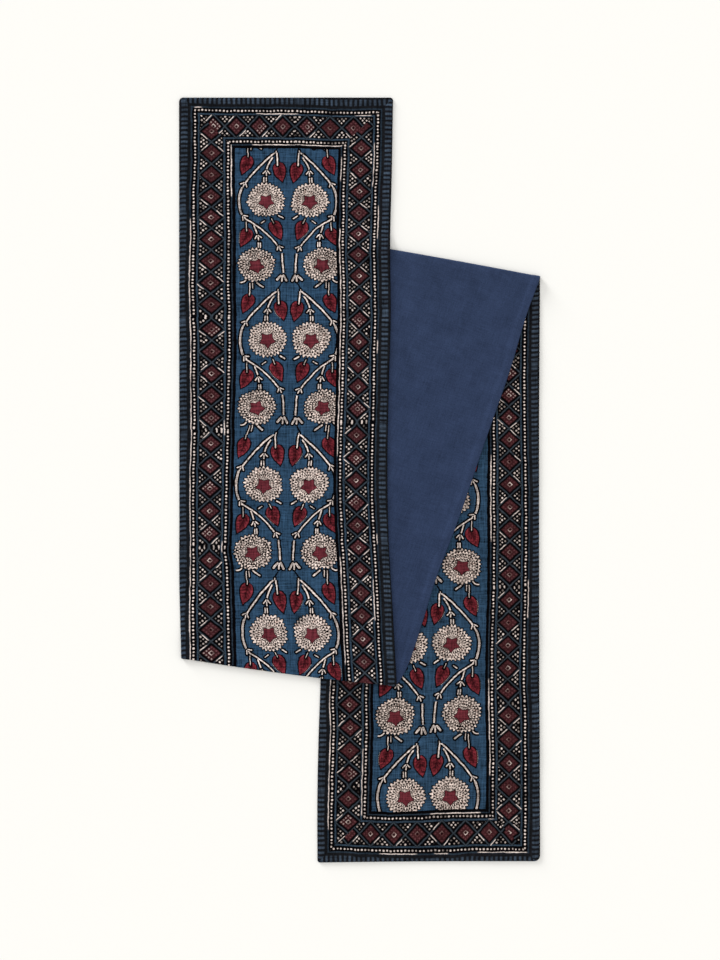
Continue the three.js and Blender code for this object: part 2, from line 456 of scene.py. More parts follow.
def closed_cloth(name, outer, inner, facing):
    """A closed mesh between two grids of points. facing is 1 where the outer skin is the printed face."""
    rows, columns = outer.shape[:2]
    kinds = grid_faces(rows, columns)
    faces = np.concatenate(kinds)
    if facing < 0:
        faces = faces[:, ::-1]
    points = np.concatenate([outer.reshape(-1, 3), inner.reshape(-1, 3)]) * MM
    mesh = bpy.data.meshes.new(name)
    mesh.from_pydata(points.tolist(), [], faces.tolist())
    mesh.shade_smooth()
    piece = bpy.data.objects.new(name, mesh)
    bpy.context.scene.collection.objects.link(piece)
    return piece, faces, len(kinds[0])


places = cloth_places(rounded=True)
places["face"] = face_directions(cloth_places(rounded=False))
places["down"] = lengthwise(places)
roll = np.clip(1 - places["depth"] / EDGE_ROLL, 0, 1)
places["half"] = np.maximum(places["flat"] * np.sqrt(1 - roll**2), 2 * FACE_GAP)


def skin(distance):
    """Points at a distance from the middle of the two cloths, to the printed side, and clear of the table."""
    points = places["middle"] + places["face"] * np.asarray(distance)[..., None]
    points[..., 2] = np.maximum(points[..., 2], TABLE_GAP)
    return points


inner_gap = np.full(places["half"].shape, FACE_GAP)
printed_skins = skin(places["half"]), skin(inner_gap)
printed_cloth, printed_faces, outer_count = closed_cloth("printed_cloth", *printed_skins, 1)
backing_skins = skin(-places["half"]), skin(-inner_gap)
backing_cloth, backing_faces, outer_count = closed_cloth("backing_cloth", *backing_skins, -1)


# ---------------------------------------------------------------------------------------------------------
# Maps over the cloth, which the prints and the weave follow
#
# cloth: millimetres across from the left edge, and down from the start of the cloth.
# sides and ends: the depth in the drawing of the border along the nearer long edge or end, in millimetres,
# and the place along it in diamonds.
# side_cream and end_cream: which of that border's blue lines have cream beside them. The first number is for
# the lines on either side of the outer dots, -1 or 1, and the second for those beside the inner dots.
# vine: millimetres across from the middle of the two vines, and the place down them in repeats.
# OFBake: the whole surface laid out flat, the three laps side by side.

# The depth of the border's two dotted lines in its drawing.
OUTER_DOTS = 22.8
INNER_DOTS = 72.0

# Where each border's two dotted lines were printed: the place along it, and their distances from the edge.
LEFT_DOTS = [(0, 24, 74), (110, 23.5, 74), (140, 21.5, 74), (210, 22.5, 75.3), (283, 20, 74.5)]
LEFT_DOTS += [(320, 21.4, 75.7), (375, 23.5, 77), (430, 23, 75.7), (502, 23.5, 74), (575, 20.9, 72)]
LEFT_DOTS += [(650, 21, 71), (685, 22, 69.8), (721, 22.4, 73.8), (790, 20.3, 74.5), (850, 19.8, 74.2)]
LEFT_DOTS += [(2150, 21, 71), (2210, 19.8, 70.3), (2255, 23, 73), (2310, 22.6, 73), (2400, 21.8, 72.2)]
LEFT_DOTS += [(2456, 22.2, 72)]
RIGHT_DOTS = [(0, 22.8, 72.5), (90, 22.6, 72), (145, 24.3, 73), (180, 23, 71.5), (235, 24, 71.7)]
RIGHT_DOTS += [(270, 23.3, 70.5), (380, 24, 71.2), (450, 22.5, 70.2), (600, 23.6, 72), (710, 21.3, 70)]
RIGHT_DOTS += [(855, 24, 72.6)]
RIGHT_DOTS += [(1640, 22.5, 71), (1720, 23.3, 71.3), (1830, 22, 69), (1890, 20.2, 69.3), (1965, 20, 68.8)]
RIGHT_DOTS += [(2040, 21.3, 69.3), (2115, 23.2, 71.9), (2190, 24, 72.6), (2230, 22.4, 72.4)]
RIGHT_DOTS += [(2300, 22.4, 71.2), (2390, 22.5, 72.6), (2456, 24, 73)]
START_DOTS = [(0, 18, 66), (60, 19.8, 66.5), (170, 20, 67), (185, 21.3, 67.5), (206, 21.7, 68.8)]
START_DOTS += [(231, 23.5, 69.6), (280, 23.2, 69), (330, 22.5, 69)]
END_DOTS = [(0, 21, 70), (39, 20.5, 68.5), (63, 18.2, 67.5), (87, 17.5, 66.5), (112, 16, 65), (160, 16, 66.2)]
END_DOTS += [(209, 16.3, 68.4), (233, 18.2, 68.4), (330, 18.2, 69)]

# Where the block for each border was set down by hand: the place along it, and the count of diamonds there.
# A block is five diamonds long, and some blocks were set down a little apart.
LEFT_BLOCKS = [(1, 0), (166.5, 5), (332, 10), (335.5, 10.03), (503, 15), (509, 15.03), (679, 20)]
LEFT_BLOCKS += [(686.5, 20.03), (861.5, 25), (2163.5, 65), (2339, 70), (2344.5, 70.03), (2456, 73.22)]
RIGHT_BLOCKS = [(-6.5, 0), (159.5, 5), (321.5, 10), (324, 10.03), (493, 15), (498, 15.03), (668.5, 20)]
RIGHT_BLOCKS += [(842.5, 25), (1698, 50), (1866.5, 55), (2038, 60), (2042, 60.03), (2214, 65), (2217, 65.03)]
RIGHT_BLOCKS += [(2396.5, 70), (2456, 71.75)]
START_BLOCKS = [(1.2, 0.03), (331, 9.41)]
END_BLOCKS = [(2, 0.2), (80, 2.5), (151, 4.5), (189, 5.5), (261, 7.5), (330, 9.5)]

# Where a border's blue lines have cream beside them. The lines are numbered from the edge: 1 and 2 are on
# either side of the outer dots, and 3 and 4 of the inner ones. Each stretch: the line, its start and its end.
LEFT_CREAM = [(4, 62, 150), (1, 185, 862), (3, 492, 512), (3, 676, 690), (1, 2150, 2405), (3, 2285, 2385)]
RIGHT_CREAM = [(2, 70, 135), (4, 92, 125), (1, 165, 215), (4, 200, 545), (1, 372, 390), (1, 665, 680)]
RIGHT_CREAM += [(4, 700, 862), (2, 735, 795), (4, 1840, 1970), (1, 2030, 2085), (4, 2180, 2325)]
START_CREAM = [(1, 24, 34), (2, 118, 180), (4, 112, 265), (2, 268, 292)]
END_CREAM = [(1, 95, 150), (1, 178, 198), (4, 172, 262), (1, 245, 318), (3, 248, 268)]

# Each border's own numbers for its chances, so that no two are worn alike.
RIGHT_SERIES = 200
START_SERIES = 400
END_SERIES = 600

# The rows of the vine's blocks: the distance down the cloth of each inner bloom's middle.
BLOOM_ROWS = [158.0, 368.7, 590.3, 817.4, 1034, 1252, 1470, 1688, 1905.5, 2126.4, 2358.1]
REPEAT = 220.0
BLOOM_PLACE = 77.4  # the inner bloom's middle, down its block
# Other rows of the vine's drawing: the distance down the cloth, and the place there in repeats.
STEM_ROWS = [(400, 1.484), (430, 1.619), (480, 1.854), (727, 2.973)]
# Down the cloth: the middle line between the vines, from the left edge, and their width against the drawing.
VINES = [(0, 164.6, 0.98), (175, 165, 0.99), (210, 166.8, 0.99), (283, 167.3, 0.99), (320, 166.7, 0.99)]
VINES += [(369, 167.3, 1.005), (430, 168.2, 1.005), (500, 168.2, 1), (516, 164, 1.02), (575, 163.7, 1.02)]
VINES += [(650, 164, 1.01), (721, 164.8, 1.02), (758, 166.3, 0.99), (817, 169.5, 0.985), (900, 171, 0.98)]
VINES += [(1700, 163, 1.02), (2008, 163, 1.015), (2126, 164.6, 1.02), (2230, 165.2, 1.025)]
VINES += [(2358, 167, 1.03), (2456, 167, 1.03)]
VINES_GAP = 6.0  # the empty strip between them
# Down the cloth: how far to the right, and how far down, the left vine's blocks were set.
LEFT_VINE = [(900, 0, 0), (1900, 2.2, 3), (2270, 2.2, 3), (2340, 0.8, 1.8)]


def table(rows, column, at):
    """A table's column at places between its rows, on straight lines through them."""
    rows = np.array(rows, float)
    return np.interp(at, rows[:, 0], rows[:, column])


def drawn_depth(distance, dots, along):
    """The depth in the drawing of a border, at a distance from the edge, by where its dots were printed."""
    outer = table(dots, 1, along)
    inner = table(dots, 2, along)
    return OUTER_DOTS + (distance - outer) * (INNER_DOTS - OUTER_DOTS) / (inner - outer)


def cream_lines(stretches, along):
    """How far the blue lines beside the outer dots, and beside the inner dots, have cream beside them."""
    pairs = [np.zeros(along.shape), np.zeros(along.shape)]
    for line, start, end in stretches:
        here = np.clip(np.minimum(along - start, end - along) / ROW_STEP + 0.5, 0, 1)
        pairs[(line - 1) // 2] += here * (1 if line % 2 == 0 else -1)
    return pairs


def add_map(piece, name, *values):
    layer = piece.data.uv_layers.new(name=name)
    layer.data.foreach_set("uv", np.dstack(values).astype(np.float32).ravel())


def corner_values(faces, values):
    """Values at places, spread to the corners of the faces of both skins."""
    both = np.concatenate([values.ravel(), values.ravel()])
    return both[faces]


def add_cloth_map(piece, faces):
    add_map(piece, "cloth", corner_values(faces, places["left"]), corner_values(faces, places["down"]))


def add_border_maps(piece, name, nearer, first, second):
    """The two maps of a pair of facing borders: distances, places, dots, blocks, cream and series of each."""
    maps = []
    for distance, along, dots, blocks, cream, series in (first, second):
        count = table(blocks, 1, along) + series
        maps.append([drawn_depth(distance, dots, along), count, *cream_lines(cream, along)])
    depth, count, outer, inner = [np.where(nearer, a, b) for a, b in zip(*maps)]
    add_map(piece, name + "s", depth, count)
    add_map(piece, name + "_cream", outer, inner)


def add_print_maps(piece, faces):
    """The maps that the prints follow: those of the borders, and that of the vines."""
    left = corner_values(faces, places["left"])
    right = corner_values(faces, places["right"])
    down = corner_values(faces, places["down"])
    on_left = (left < right).mean(axis=1)[:, None] > 0.5
    left_border = (left, down, LEFT_DOTS, LEFT_BLOCKS, LEFT_CREAM, 0)
    right_border = (right, down, RIGHT_DOTS, RIGHT_BLOCKS, RIGHT_CREAM, RIGHT_SERIES)
    add_border_maps(piece, "side", on_left, left_border, right_border)
    at_start = down.mean(axis=1)[:, None] < CLOTH_LENGTH / 2
    start_border = (down, left, START_DOTS, START_BLOCKS, START_CREAM, START_SERIES)
    end_border = (CLOTH_LENGTH - down, left, END_DOTS, END_BLOCKS, END_CREAM, END_SERIES)
    add_border_maps(piece, "end", at_start, start_border, end_border)
    rows = np.array(BLOOM_ROWS)
    before = rows[0] - (rows[1] - rows[0])
    after = rows[-1] + (rows[-1] - rows[-2])
    repeats = np.arange(-1, len(rows) + 1) + BLOOM_PLACE / REPEAT
    row_table = sorted([*zip([before, *rows, after], repeats), *STEM_ROWS])
    from_middle = left - table(VINES, 1, down)
    left_share = np.clip(0.5 - from_middle / VINES_GAP, 0, 1)
    vine_x = (from_middle - left_share * table(LEFT_VINE, 1, down)) / table(VINES, 2, down)
    vine_down = down - left_share * table(LEFT_VINE, 2, down)
    add_map(piece, "vine", vine_x, table(row_table, 1, vine_down))


# The flat layout for baking: three strips of outer skin side by side, and the inner skin small below them.
LAYOUT_SIDE = 1080.0
LAYOUT_GAP = 12.0
LAYOUT_STRIP = 345.0
LAYOUT_INNER_START = 975.0
LAYOUT_INNER_SCALE = 0.1
LAYOUT_RIM = 1.0


def add_layout(piece, faces, outer_count):
    """Lays the whole surface out flat in a square, for baking."""
    fold_rows = [np.flatnonzero(places["part"] == k) for k in (LOWER_FOLD_PART, UPPER_FOLD_PART)]
    fold_middles = [places["down"][rows[FOLD_ROWS // 2]].mean() for rows in fold_rows]
    cuts = np.array([0, *fold_middles, CLOTH_LENGTH])
    down = corner_values(faces, places["down"])
    strip = np.clip(np.searchsorted(cuts, down.mean(axis=1)) - 1, 0, 2)[:, None]
    # A rim face has two corners on each skin at the same places, so its inner ones are set outwards.
    outward_x = np.zeros(places["left"].shape)
    outward_x[:, [0, -1]] = (-LAYOUT_RIM, LAYOUT_RIM)
    outward_y = np.zeros(places["left"].shape)
    outward_y[[0, -1]] = [[-LAYOUT_RIM], [LAYOUT_RIM]]
    face = np.arange(len(faces))[:, None]
    moved = (face >= 2 * outer_count) & (faces >= places["left"].size)
    x = corner_values(faces, places["left"]) + moved * corner_values(faces, outward_x)
    x = LAYOUT_GAP + strip * (LAYOUT_STRIP + LAYOUT_GAP) + x
    y = LAYOUT_GAP + down - cuts[strip] + moved * corner_values(faces, outward_y)
    inner = (face >= outer_count) & (face < 2 * outer_count)
    x = np.where(inner, x * LAYOUT_INNER_SCALE, x)
    y = np.where(inner, LAYOUT_INNER_START + y * LAYOUT_INNER_SCALE, y)
    add_map(piece, "OFBake", x / LAYOUT_SIDE, y / LAYOUT_SIDE)


# ---------------------------------------------------------------------------------------------------------
# Sums in a material: a Sum is a number, or a place with three parts, that nodes work out


class Sum:
    def __init__(self, tree, socket):
        self.tree = tree
        self.socket = socket

    def __add__(self, other):
        return number(self.tree, "ADD", self, other)

    def __sub__(self, other):
        return number(self.tree, "SUBTRACT", self, other)

    def __rsub__(self, other):
        return number(self.tree, "SUBTRACT", other, self)

    def __mul__(self, other):
        return number(self.tree, "MULTIPLY", self, other)

    def __truediv__(self, other):
        return number(self.tree, "DIVIDE", self, other)

    def plus(self, factor, extra, clamp=False):
        """This times a factor, plus something more, in one node."""
        return number(self.tree, "MULTIPLY_ADD", self, factor, extra, clamp=clamp)

    def under(self, other):
        return number(self.tree, "LESS_THAN", self, other)

    def over(self, other):
        return number(self.tree, "GREATER_THAN", self, other)

    def least(self, other):
        return number(self.tree, "MINIMUM", self, other)

    def most(self, other):
        return number(self.tree, "MAXIMUM", self, other)

    def size(self):
        return number(self.tree, "ABSOLUTE", self)

    def fraction(self):
        return number(self.tree, "FRACT", self)

    def whole(self):
        return number(self.tree, "FLOOR", self)

    def root(self):
        return number(self.tree, "SQRT", self)

    def sine(self):
        return number(self.tree, "SINE", self)

    def cosine(self):
        return number(self.tree, "COSINE", self)

    def inside(self, edge=0.0, soft=0.7):
        """1 where this distance is less than an edge, 0 past it, with a soft border of ink."""
        return number(self.tree, "MULTIPLY_ADD", self, -1 / soft, edge / soft + 0.5, clamp=True)

    def parts(self):
        node = self.tree.nodes.new("ShaderNodeSeparateXYZ")
        self.tree.links.new(self.socket, node.inputs[0])
        return [Sum(self.tree, node.outputs[i]) for i in range(3)]


def put(tree, value, target):
    """Links a Sum to a socket, or sets the socket to a plain value."""
    if isinstance(value, Sum):
        tree.links.new(value.socket, target)
    else:
        target.default_value = value


def number(tree, operation, *values, clamp=False):
    node = tree.nodes.new("ShaderNodeMath")
    node.operation = operation
    node.use_clamp = clamp
    for value, target in zip(values, node.inputs):
        put(tree, value, target)
    return Sum(tree, node.outputs[0])


def vector(tree, operation, *values, scale=None):
    node = tree.nodes.new("ShaderNodeVectorMath")
    node.operation = operation
    for value, target in zip(values, node.inputs):
        put(tree, value, target)
    if scale is not None:
        put(tree, scale, node.inputs["Scale"])
    gives_number = operation in ("LENGTH", "DISTANCE", "DOT_PRODUCT")
    return Sum(tree, node.outputs["Value" if gives_number else "Vector"])


def place(tree, x, y, z=0.0):
    node = tree.nodes.new("ShaderNodeCombineXYZ")
    for value, target in zip((x, y, z), node.inputs):
        put(tree, value, target)
    return Sum(tree, node.outputs[0])


def mapped(tree, name):
    node = tree.nodes.new("ShaderNodeUVMap")
    node.uv_map = name
    return Sum(tree, node.outputs[0])


def cloudy(tree, point, scale, detail=1.0, roughness=0.5):
    """Soft noise over a place, as a number and as three separate numbers about 0.5."""
    node = tree.nodes.new("ShaderNodeTexNoise")
    node.noise_dimensions = "2D"
    put(tree, point, node.inputs["Vector"])
    node.inputs["Scale"].default_value = scale
    node.inputs["Detail"].default_value = detail
    node.inputs["Roughness"].default_value = roughness
    return Sum(tree, node.outputs["Fac"]), Sum(tree, node.outputs["Color"])


def chance(tree, point):
    """A random number from 0 to 1 for each place, and three more as a vector."""
    node = tree.nodes.new("ShaderNodeTexWhiteNoise")
    node.noise_dimensions = "2D"
    put(tree, point, node.inputs["Vector"])
    return Sum(tree, node.outputs["Value"]), Sum(tree, node.outputs["Color"])


def blend_of(tree, mask, a, b, kind="RGBA"):
    """a where the mask is 0, b where it is 1. kind is RGBA for colours and VECTOR for places."""
    node = tree.nodes.new("ShaderNodeMix")
    node.data_type = kind
    sockets = {"RGBA": (0, 6, 7, 2), "VECTOR": (0, 4, 5, 1)}[kind]
    put(tree, mask, node.inputs[sockets[0]])
    put(tree, a, node.inputs[sockets[1]])
    put(tree, b, node.inputs[sockets[2]])
    return Sum(tree, node.outputs[sockets[3]])


def stripes(tree, at, bands):
    """A colour for each stretch of a line: bands are (start, colour), with starts from 0 to 1."""
    node = tree.nodes.new("ShaderNodeValToRGB")
    ramp = node.color_ramp
    ramp.interpolation = "CONSTANT"
    ramp.elements[0].position = bands[0][0]
    ramp.elements[0].color = bands[0][1]
    ramp.elements[1].position = bands[1][0]
    ramp.elements[1].color = bands[1][1]
    for start, colour in bands[2:]:
        ramp.elements.new(start).color = colour
    put(tree, at, node.inputs[0])
    return Sum(tree, node.outputs[0])


def new_group(name, inputs, outputs):
    """A shader node group. Gives it, its inputs as Sums by name, and its output node's sockets."""
    tree = bpy.data.node_groups.new(name, "ShaderNodeTree")
    for title, kind, value in inputs:
        socket = tree.interface.new_socket(title, in_out="INPUT", socket_type="NodeSocket" + kind)
        if value is not None:
            socket.default_value = value
    for title, kind in outputs:
        tree.interface.new_socket(title, in_out="OUTPUT", socket_type="NodeSocket" + kind)
    entry = tree.nodes.new("NodeGroupInput")
    exit_node = tree.nodes.new("NodeGroupOutput")
    return tree, {s.name: Sum(tree, s) for s in entry.outputs if s.name}, exit_node.inputs


def use_group(tree, group, **values):
    """Places a group, and gives its outputs as Sums by name. An input's name has _ for each space."""
    node = tree.nodes.new("ShaderNodeGroup")
    node.node_tree = group
    for title, value in values.items():
        put(tree, value, node.inputs[title.replace("_", " ")])
    return {s.name: Sum(tree, s) for s in node.outputs}


# ---------------------------------------------------------------------------------------------------------
# Inks and dyes

BLACK = (0.0018, 0.0014, 0.0020, 1)
SOFT_BLACK = (0.0080, 0.0085, 0.0105, 1)
BLUE = (0.0224, 0.0530, 0.0980, 1)
LINE_BLUE = (0.0270, 0.0460, 0.0700, 1)
DULL_BLUE = (0.0168, 0.0268, 0.0403, 1)
BAR_BLUE = (0.0470, 0.0690, 0.1020, 1)
LATTICE_BLUE = (0.0320, 0.0430, 0.0550, 1)
CREAM = (0.7100, 0.6050, 0.5550, 1)
PETAL_CREAM = (0.7400, 0.6120, 0.5500, 1)
BLUSH = (0.3300, 0.1700, 0.1300, 1)
DARK_RED = (0.0480, 0.0070, 0.0100, 1)
BRIGHT_RED = (0.1900, 0.0250, 0.0350, 1)
STAR_RED = (0.1053, 0.0195, 0.0270, 1)
DIAMOND_RED = (0.0420, 0.0120, 0.0140, 1)
BEAD_RED = (0.1330, 0.0530, 0.0600, 1)
NAVY = (0.0252, 0.0394, 0.0838, 1)
UNPRINTED = (0.4200, 0.3900, 0.3400, 1)


# ---------------------------------------------------------------------------------------------------------
# Groups that all the cottons share: the weave, and the wear of the dye and ink

# The weave. Thick and thin stretches of thread change fast across the thread and slowly along it, per mm.
PRINT_THREADS = (0.62, 0.25)  # the threads' pitch, and how strong their relief is
PLAIN_THREADS = (0.5, 0.15)
WEAVE_RELIEF = 0.0002  # metres
SLUB_ACROSS = 0.42
SLUB_ALONG = 0.03
THREAD_CONTRAST = 1.3
# The wear: how fast patches and grain change, per millimetre, and how light and dark they make the colour.
PATCH_SCALE = 0.03
PATCH_CONTRAST = 0.5
GRAIN_SCALE = 0.55
GRAIN_CONTRAST = 0.8
# The inks and the bare cotton darken down the cloth to these shares, and the navy lightens.
DOWN_TINT_START = 900.0
DOWN_TINT_LENGTH = 750.0
DOWN_INK_TINT = (0.95, 0.92, 0.89)
DOWN_COTTON_TINT = (0.90, 0.90, 0.89)
DOWN_NAVY_TINT = (1.15, 1.12, 1.09)


def make_cotton_weave():
    """Plain handloom cotton, from the cloth map: relief for a Bump node, and light and dark threads."""
    tree, given, gives = new_group(
        "cotton_weave",
        [("Place", "Vector", None), ("Thread Pitch", "Float", PRINT_THREADS[0])],
        [("Relief", "Float"), ("Threads", "Float")],
    )
    across, down, _ = given["Place"].parts()
    turn = number(tree, "DIVIDE", math.pi, given["Thread Pitch"])
    weave = ((across * turn).sine() * (down * turn).sine()).size()
    weft_place = place(tree, across * SLUB_ALONG, down * SLUB_ACROSS)
    long_weft, _ = cloudy(tree, weft_place, 1.0, detail=3.0, roughness=0.75)
    warp_place = place(tree, across * SLUB_ACROSS, down * SLUB_ALONG)
    long_warp, _ = cloudy(tree, warp_place, 1.0, detail=3.0, roughness=0.75)
    threads = long_weft + long_warp
    put(tree, weave.plus(0.5, threads * 0.5), gives["Relief"])
    put(tree, threads.plus(THREAD_CONTRAST, -THREAD_CONTRAST), gives["Threads"])
    return tree


cotton_weave = make_cotton_weave()


def make_ink_wear():
    """Uneven dyeing and rubbed ink: broad patches, fine grain, the threads, and a change of tone down the
    cloth.
    """
    tree, given, gives = new_group(
        "ink_wear",
        [
            ("Colour", "Color", (0.5, 0.5, 0.5, 1)),
            ("Place", "Vector", None),
            ("Threads", "Float", 0.0),
            ("Later Dye", "Vector", (1.0, 1.0, 1.0)),
            ("Later Cotton", "Vector", (1.0, 1.0, 1.0)),
        ],
        [("Colour", "Color")],
    )
    _, down, _ = given["Place"].parts()
    patches, _ = cloudy(tree, given["Place"], PATCH_SCALE, detail=3.0, roughness=0.6)
    grain, _ = cloudy(tree, given["Place"], GRAIN_SCALE, detail=2.0, roughness=0.7)
    bright = patches.plus(PATCH_CONTRAST, 1.0 - PATCH_CONTRAST / 2)
    bright = grain.plus(GRAIN_CONTRAST, bright - GRAIN_CONTRAST / 2)
    bright = given["Threads"].plus(1.0, bright)
    # Inks and bare cotton darker, and navy lighter, by the distance down the cloth: a plain change of tone.
    further_down = down.plus(1 / DOWN_TINT_LENGTH, -DOWN_TINT_START / DOWN_TINT_LENGTH, clamp=True)
    red, _, _ = given["Colour"].parts()
    bare = red.plus(1 / CREAM[0], 0.0, clamp=True)
    tint = blend_of(tree, bare, given["Later Dye"], given["Later Cotton"], "VECTOR")
    tint = blend_of(tree, further_down, (1.0, 1.0, 1.0), tint, "VECTOR")
    tinted = vector(tree, "MULTIPLY", given["Colour"], tint)
    put(tree, vector(tree, "SCALE", tinted, scale=bright), gives["Colour"])
    return tree


ink_wear = make_ink_wear()


# ---------------------------------------------------------------------------------------------------------
# Groups that both prints share: the wobble of a hand print, and the border's lines and dots

# A hand print's wobble: how fast its broad and its fine part change, per millimetre, how large the fine part
# is against the broad one, and how far the two reach together in millimetres.
BROAD_WOBBLE = 0.07
FINE_WOBBLE = 0.33
FINE_SHARE = 0.55
PRINT_WOBBLE = 1.6

# The border's drawing: depths from the edge in millimetres, and counts to a diamond.
DIAMOND_PITCH = 34.0
BLOCK_DIAMONDS = 5.0
BLOCK_JOG = 0.8  # how unevenly its blocks were set down across the border
BLOCK_SLIP = 0.06  # and along it, in diamonds
DOT_PITCH = 5.3
DOTS_PER_DIAMOND = 6.4
DOT_RADII = (1.0, 1.4)
DOT_JOG = 0.6
INNER_DOTS_SLIP = 0.37  # how far along the inner line's dots lie, in dots
CREAM_OFFSET = 4.8  # from the middle of a dotted line to the cream beside a blue line
CREAM_HALF = 0.75  # half its width, before wear
CREAM_WEAR = 1.3
BARS_PER_DIAMOND = 4.8
BARS = (2.0, 11.8)  # the depths between which the bars along the edge lie
BAR_HALF = 0.24  # half a bar's width, in bars
BAND_MIDDLE = 47.5
DRAWING_SPAN = 100.0
FIELD_START = 82.4
# Each kind of chance has a number of its own, so that no two of them draw alike.
BLOCK_CHANCE = 3.7
DOT_CHANCE = 9.1
DOT_WEAR_CHANCE = 5.5
BAR_CHANCE = 4.4
DIAMOND_CHANCE = 1.3
ARM_CHANCE = 0.4
STREAK_CHANCE = 6.1
PETAL_CHANCE = 7.3

# From the edge inwards: where each stripe starts, and its colour.
GROUND = [
    (0.0, SOFT_BLACK),
    (16.4, DULL_BLUE),
    (18.6, BLACK),
    (27.0, LINE_BLUE),
    (29.6, BLACK),
    (65.2, LINE_BLUE),
    (67.8, BLACK),
    (75.8, DULL_BLUE),
    (78.0, BLACK),
    (FIELD_START, BLUE),
]


def make_hand_wobble():
    """Moves a place a little, as hand-cut blocks and soft cloth do."""
    tree, given, gives = new_group(
        "hand_wobble",
        [("Place", "Vector", None), ("Reach", "Float", 1.0)],
        [("Shift", "Vector"), ("Amount", "Float")],
    )
    _, broad = cloudy(tree, given["Place"], BROAD_WOBBLE)
    amount, fine = cloudy(tree, given["Place"], FINE_WOBBLE)
    mean = (1.0 + FINE_SHARE) / 2
    centred = vector(tree, "MULTIPLY_ADD", fine, (FINE_SHARE, FINE_SHARE, 0.0), (-mean, -mean, 0.0))
    both = vector(tree, "MULTIPLY_ADD", broad, (1.0, 1.0, 0.0), centred)
    put(tree, vector(tree, "SCALE", both, scale=given["Reach"]), gives["Shift"])
    put(tree, amount, gives["Amount"])
    return tree


hand_wobble = make_hand_wobble()


def make_border_place():
    """Where a point lies in the borders' drawing, which turns at the corners and is set down in blocks."""
    tree, given, gives = new_group(
        "border_place",
        [(name, "Vector", None) for name in ("Sides", "Ends", "Side Cream", "End Cream", "Shift")],
        [("Depth", "Float"), ("Along", "Float"), ("Cream", "Vector")],
    )
    side_depth, _, _ = given["Sides"].parts()
    end_depth, _, _ = given["Ends"].parts()
    turned = end_depth.under(side_depth)
    depth, along, _ = blend_of(tree, turned, given["Sides"], given["Ends"], "VECTOR").parts()
    _, luck = chance(tree, place(tree, (along / BLOCK_DIAMONDS).whole(), BLOCK_CHANCE))
    luck_x, luck_y, _ = luck.parts()
    shift_x, shift_y, _ = given["Shift"].parts()
    put(tree, depth + luck_x.plus(BLOCK_JOG, shift_x - BLOCK_JOG / 2), gives["Depth"])
    put(tree, along + luck_y.plus(BLOCK_SLIP, shift_y / DIAMOND_PITCH - BLOCK_SLIP / 2), gives["Along"])
    put(tree, blend_of(tree, turned, given["Side Cream"], given["End Cream"], "VECTOR"), gives["Cream"])
    return tree


border_place = make_border_place()


def make_dotted_line():
    """A line of squarish dots, by the distance across it and the count of dots along it."""
    tree, given, gives = new_group(
        "dotted_line",
        [("Across", "Float", 0.0), ("Count", "Float", 0.0)],
        [("Dots", "Float")],
    )
    luck, lucks = chance(tree, place(tree, given["Count"].whole(), DOT_CHANCE))
    luck_x, luck_y, luck_z = lucks.parts()
    along = given["Count"].fraction().plus(DOT_PITCH, luck_y.plus(DOT_JOG, -(DOT_JOG + DOT_PITCH) / 2))
    across = given["Across"] + luck_x.plus(DOT_JOG, -DOT_JOG / 2)
    cubes = number(tree, "POWER", across.size(), 3.0) + number(tree, "POWER", along.size(), 3.0)
    distance = number(tree, "POWER", cubes, 1 / 3) - luck_z.plus(DOT_RADII[1] - DOT_RADII[0], DOT_RADII[0])
    wear_place = place(tree, given["Count"] * 0.16, DOT_WEAR_CHANCE)
    printed, _ = cloudy(tree, wear_place, 1.0, detail=2.0, roughness=0.6)
    printed = printed.plus(5.0, luck.plus(0.5, -1.25), clamp=True).plus(0.85, 0.15)
    put(tree, distance.inside(0.0, 0.8) * printed, gives["Dots"])
    return tree


dotted_line = make_dotted_line()


def make_border_lines():
    """The border's ground: its stripes, the cream beside them, and the two lines of dots."""
    tree, given, gives = new_group(
        "border_lines",
        [("Depth", "Float", 0.0), ("Along", "Float", 0.0), ("Cream", "Vector", None)],
        [("Colour", "Color")],
    )
    depth = given["Depth"]
    colour = stripes(tree, depth / DRAWING_SPAN, [(start / DRAWING_SPAN, ink) for start, ink in GROUND])
    inner = depth.over(BAND_MIDDLE)
    outer_cream, inner_cream, _ = given["Cream"].parts()
    bare = outer_cream + (inner_cream - outer_cream) * inner
    across = depth - inner.plus(INNER_DOTS - OUTER_DOTS, OUTER_DOTS)
    side = bare.over(0.0).plus(2.0, -1.0)
    worn, _ = cloudy(tree, place(tree, given["Along"] * 1.1, inner), 1.0, detail=2.0, roughness=0.6)
    cream = (across * side - CREAM_OFFSET).size() + worn.plus(CREAM_WEAR, -0.45)
    cream = cream.inside(CREAM_HALF, 0.7) * bare.size().plus(2.0, -0.5, clamp=True)
    count = given["Along"].plus(DOTS_PER_DIAMOND, inner * INNER_DOTS_SLIP)
    dots = use_group(tree, dotted_line, Across=across, Count=count)["Dots"]
    put(tree, blend_of(tree, dots.most(cream), colour, CREAM), gives["Colour"])
    return tree


border_lines = make_border_lines()


# ---------------------------------------------------------------------------------------------------------
# The band of diamonds

BAND_HALF = 19.1
LATTICE_SCALE = 12.7  # millimetres across the lattice's lines for each 1 of the two slopes' sum
LATTICE_HALF = 0.95
LATTICE_OUTLINE = 0.9
# A diamond: its reach and those of what is in it, as shares of the way from its middle to the lattice.
DIAMOND_REACH = 0.70
DIAMOND_UNEVEN = 0.8  # in millimetres
BEAD_RING = 0.53
BEAD_RING_HALF = 0.075
BEADS = 3.0  # along each side of a diamond
BEAD_HALF = 0.24  # half a bead's length, in beads
LIT_BEADS = 0.75  # the share of diamonds whose beads are never cream
CORE_GROUND = 0.23
CORE_SQUARE = 0.185
CORE_REACH = 0.09
CORE_LINE_HALF = 0.55  # in millimetres
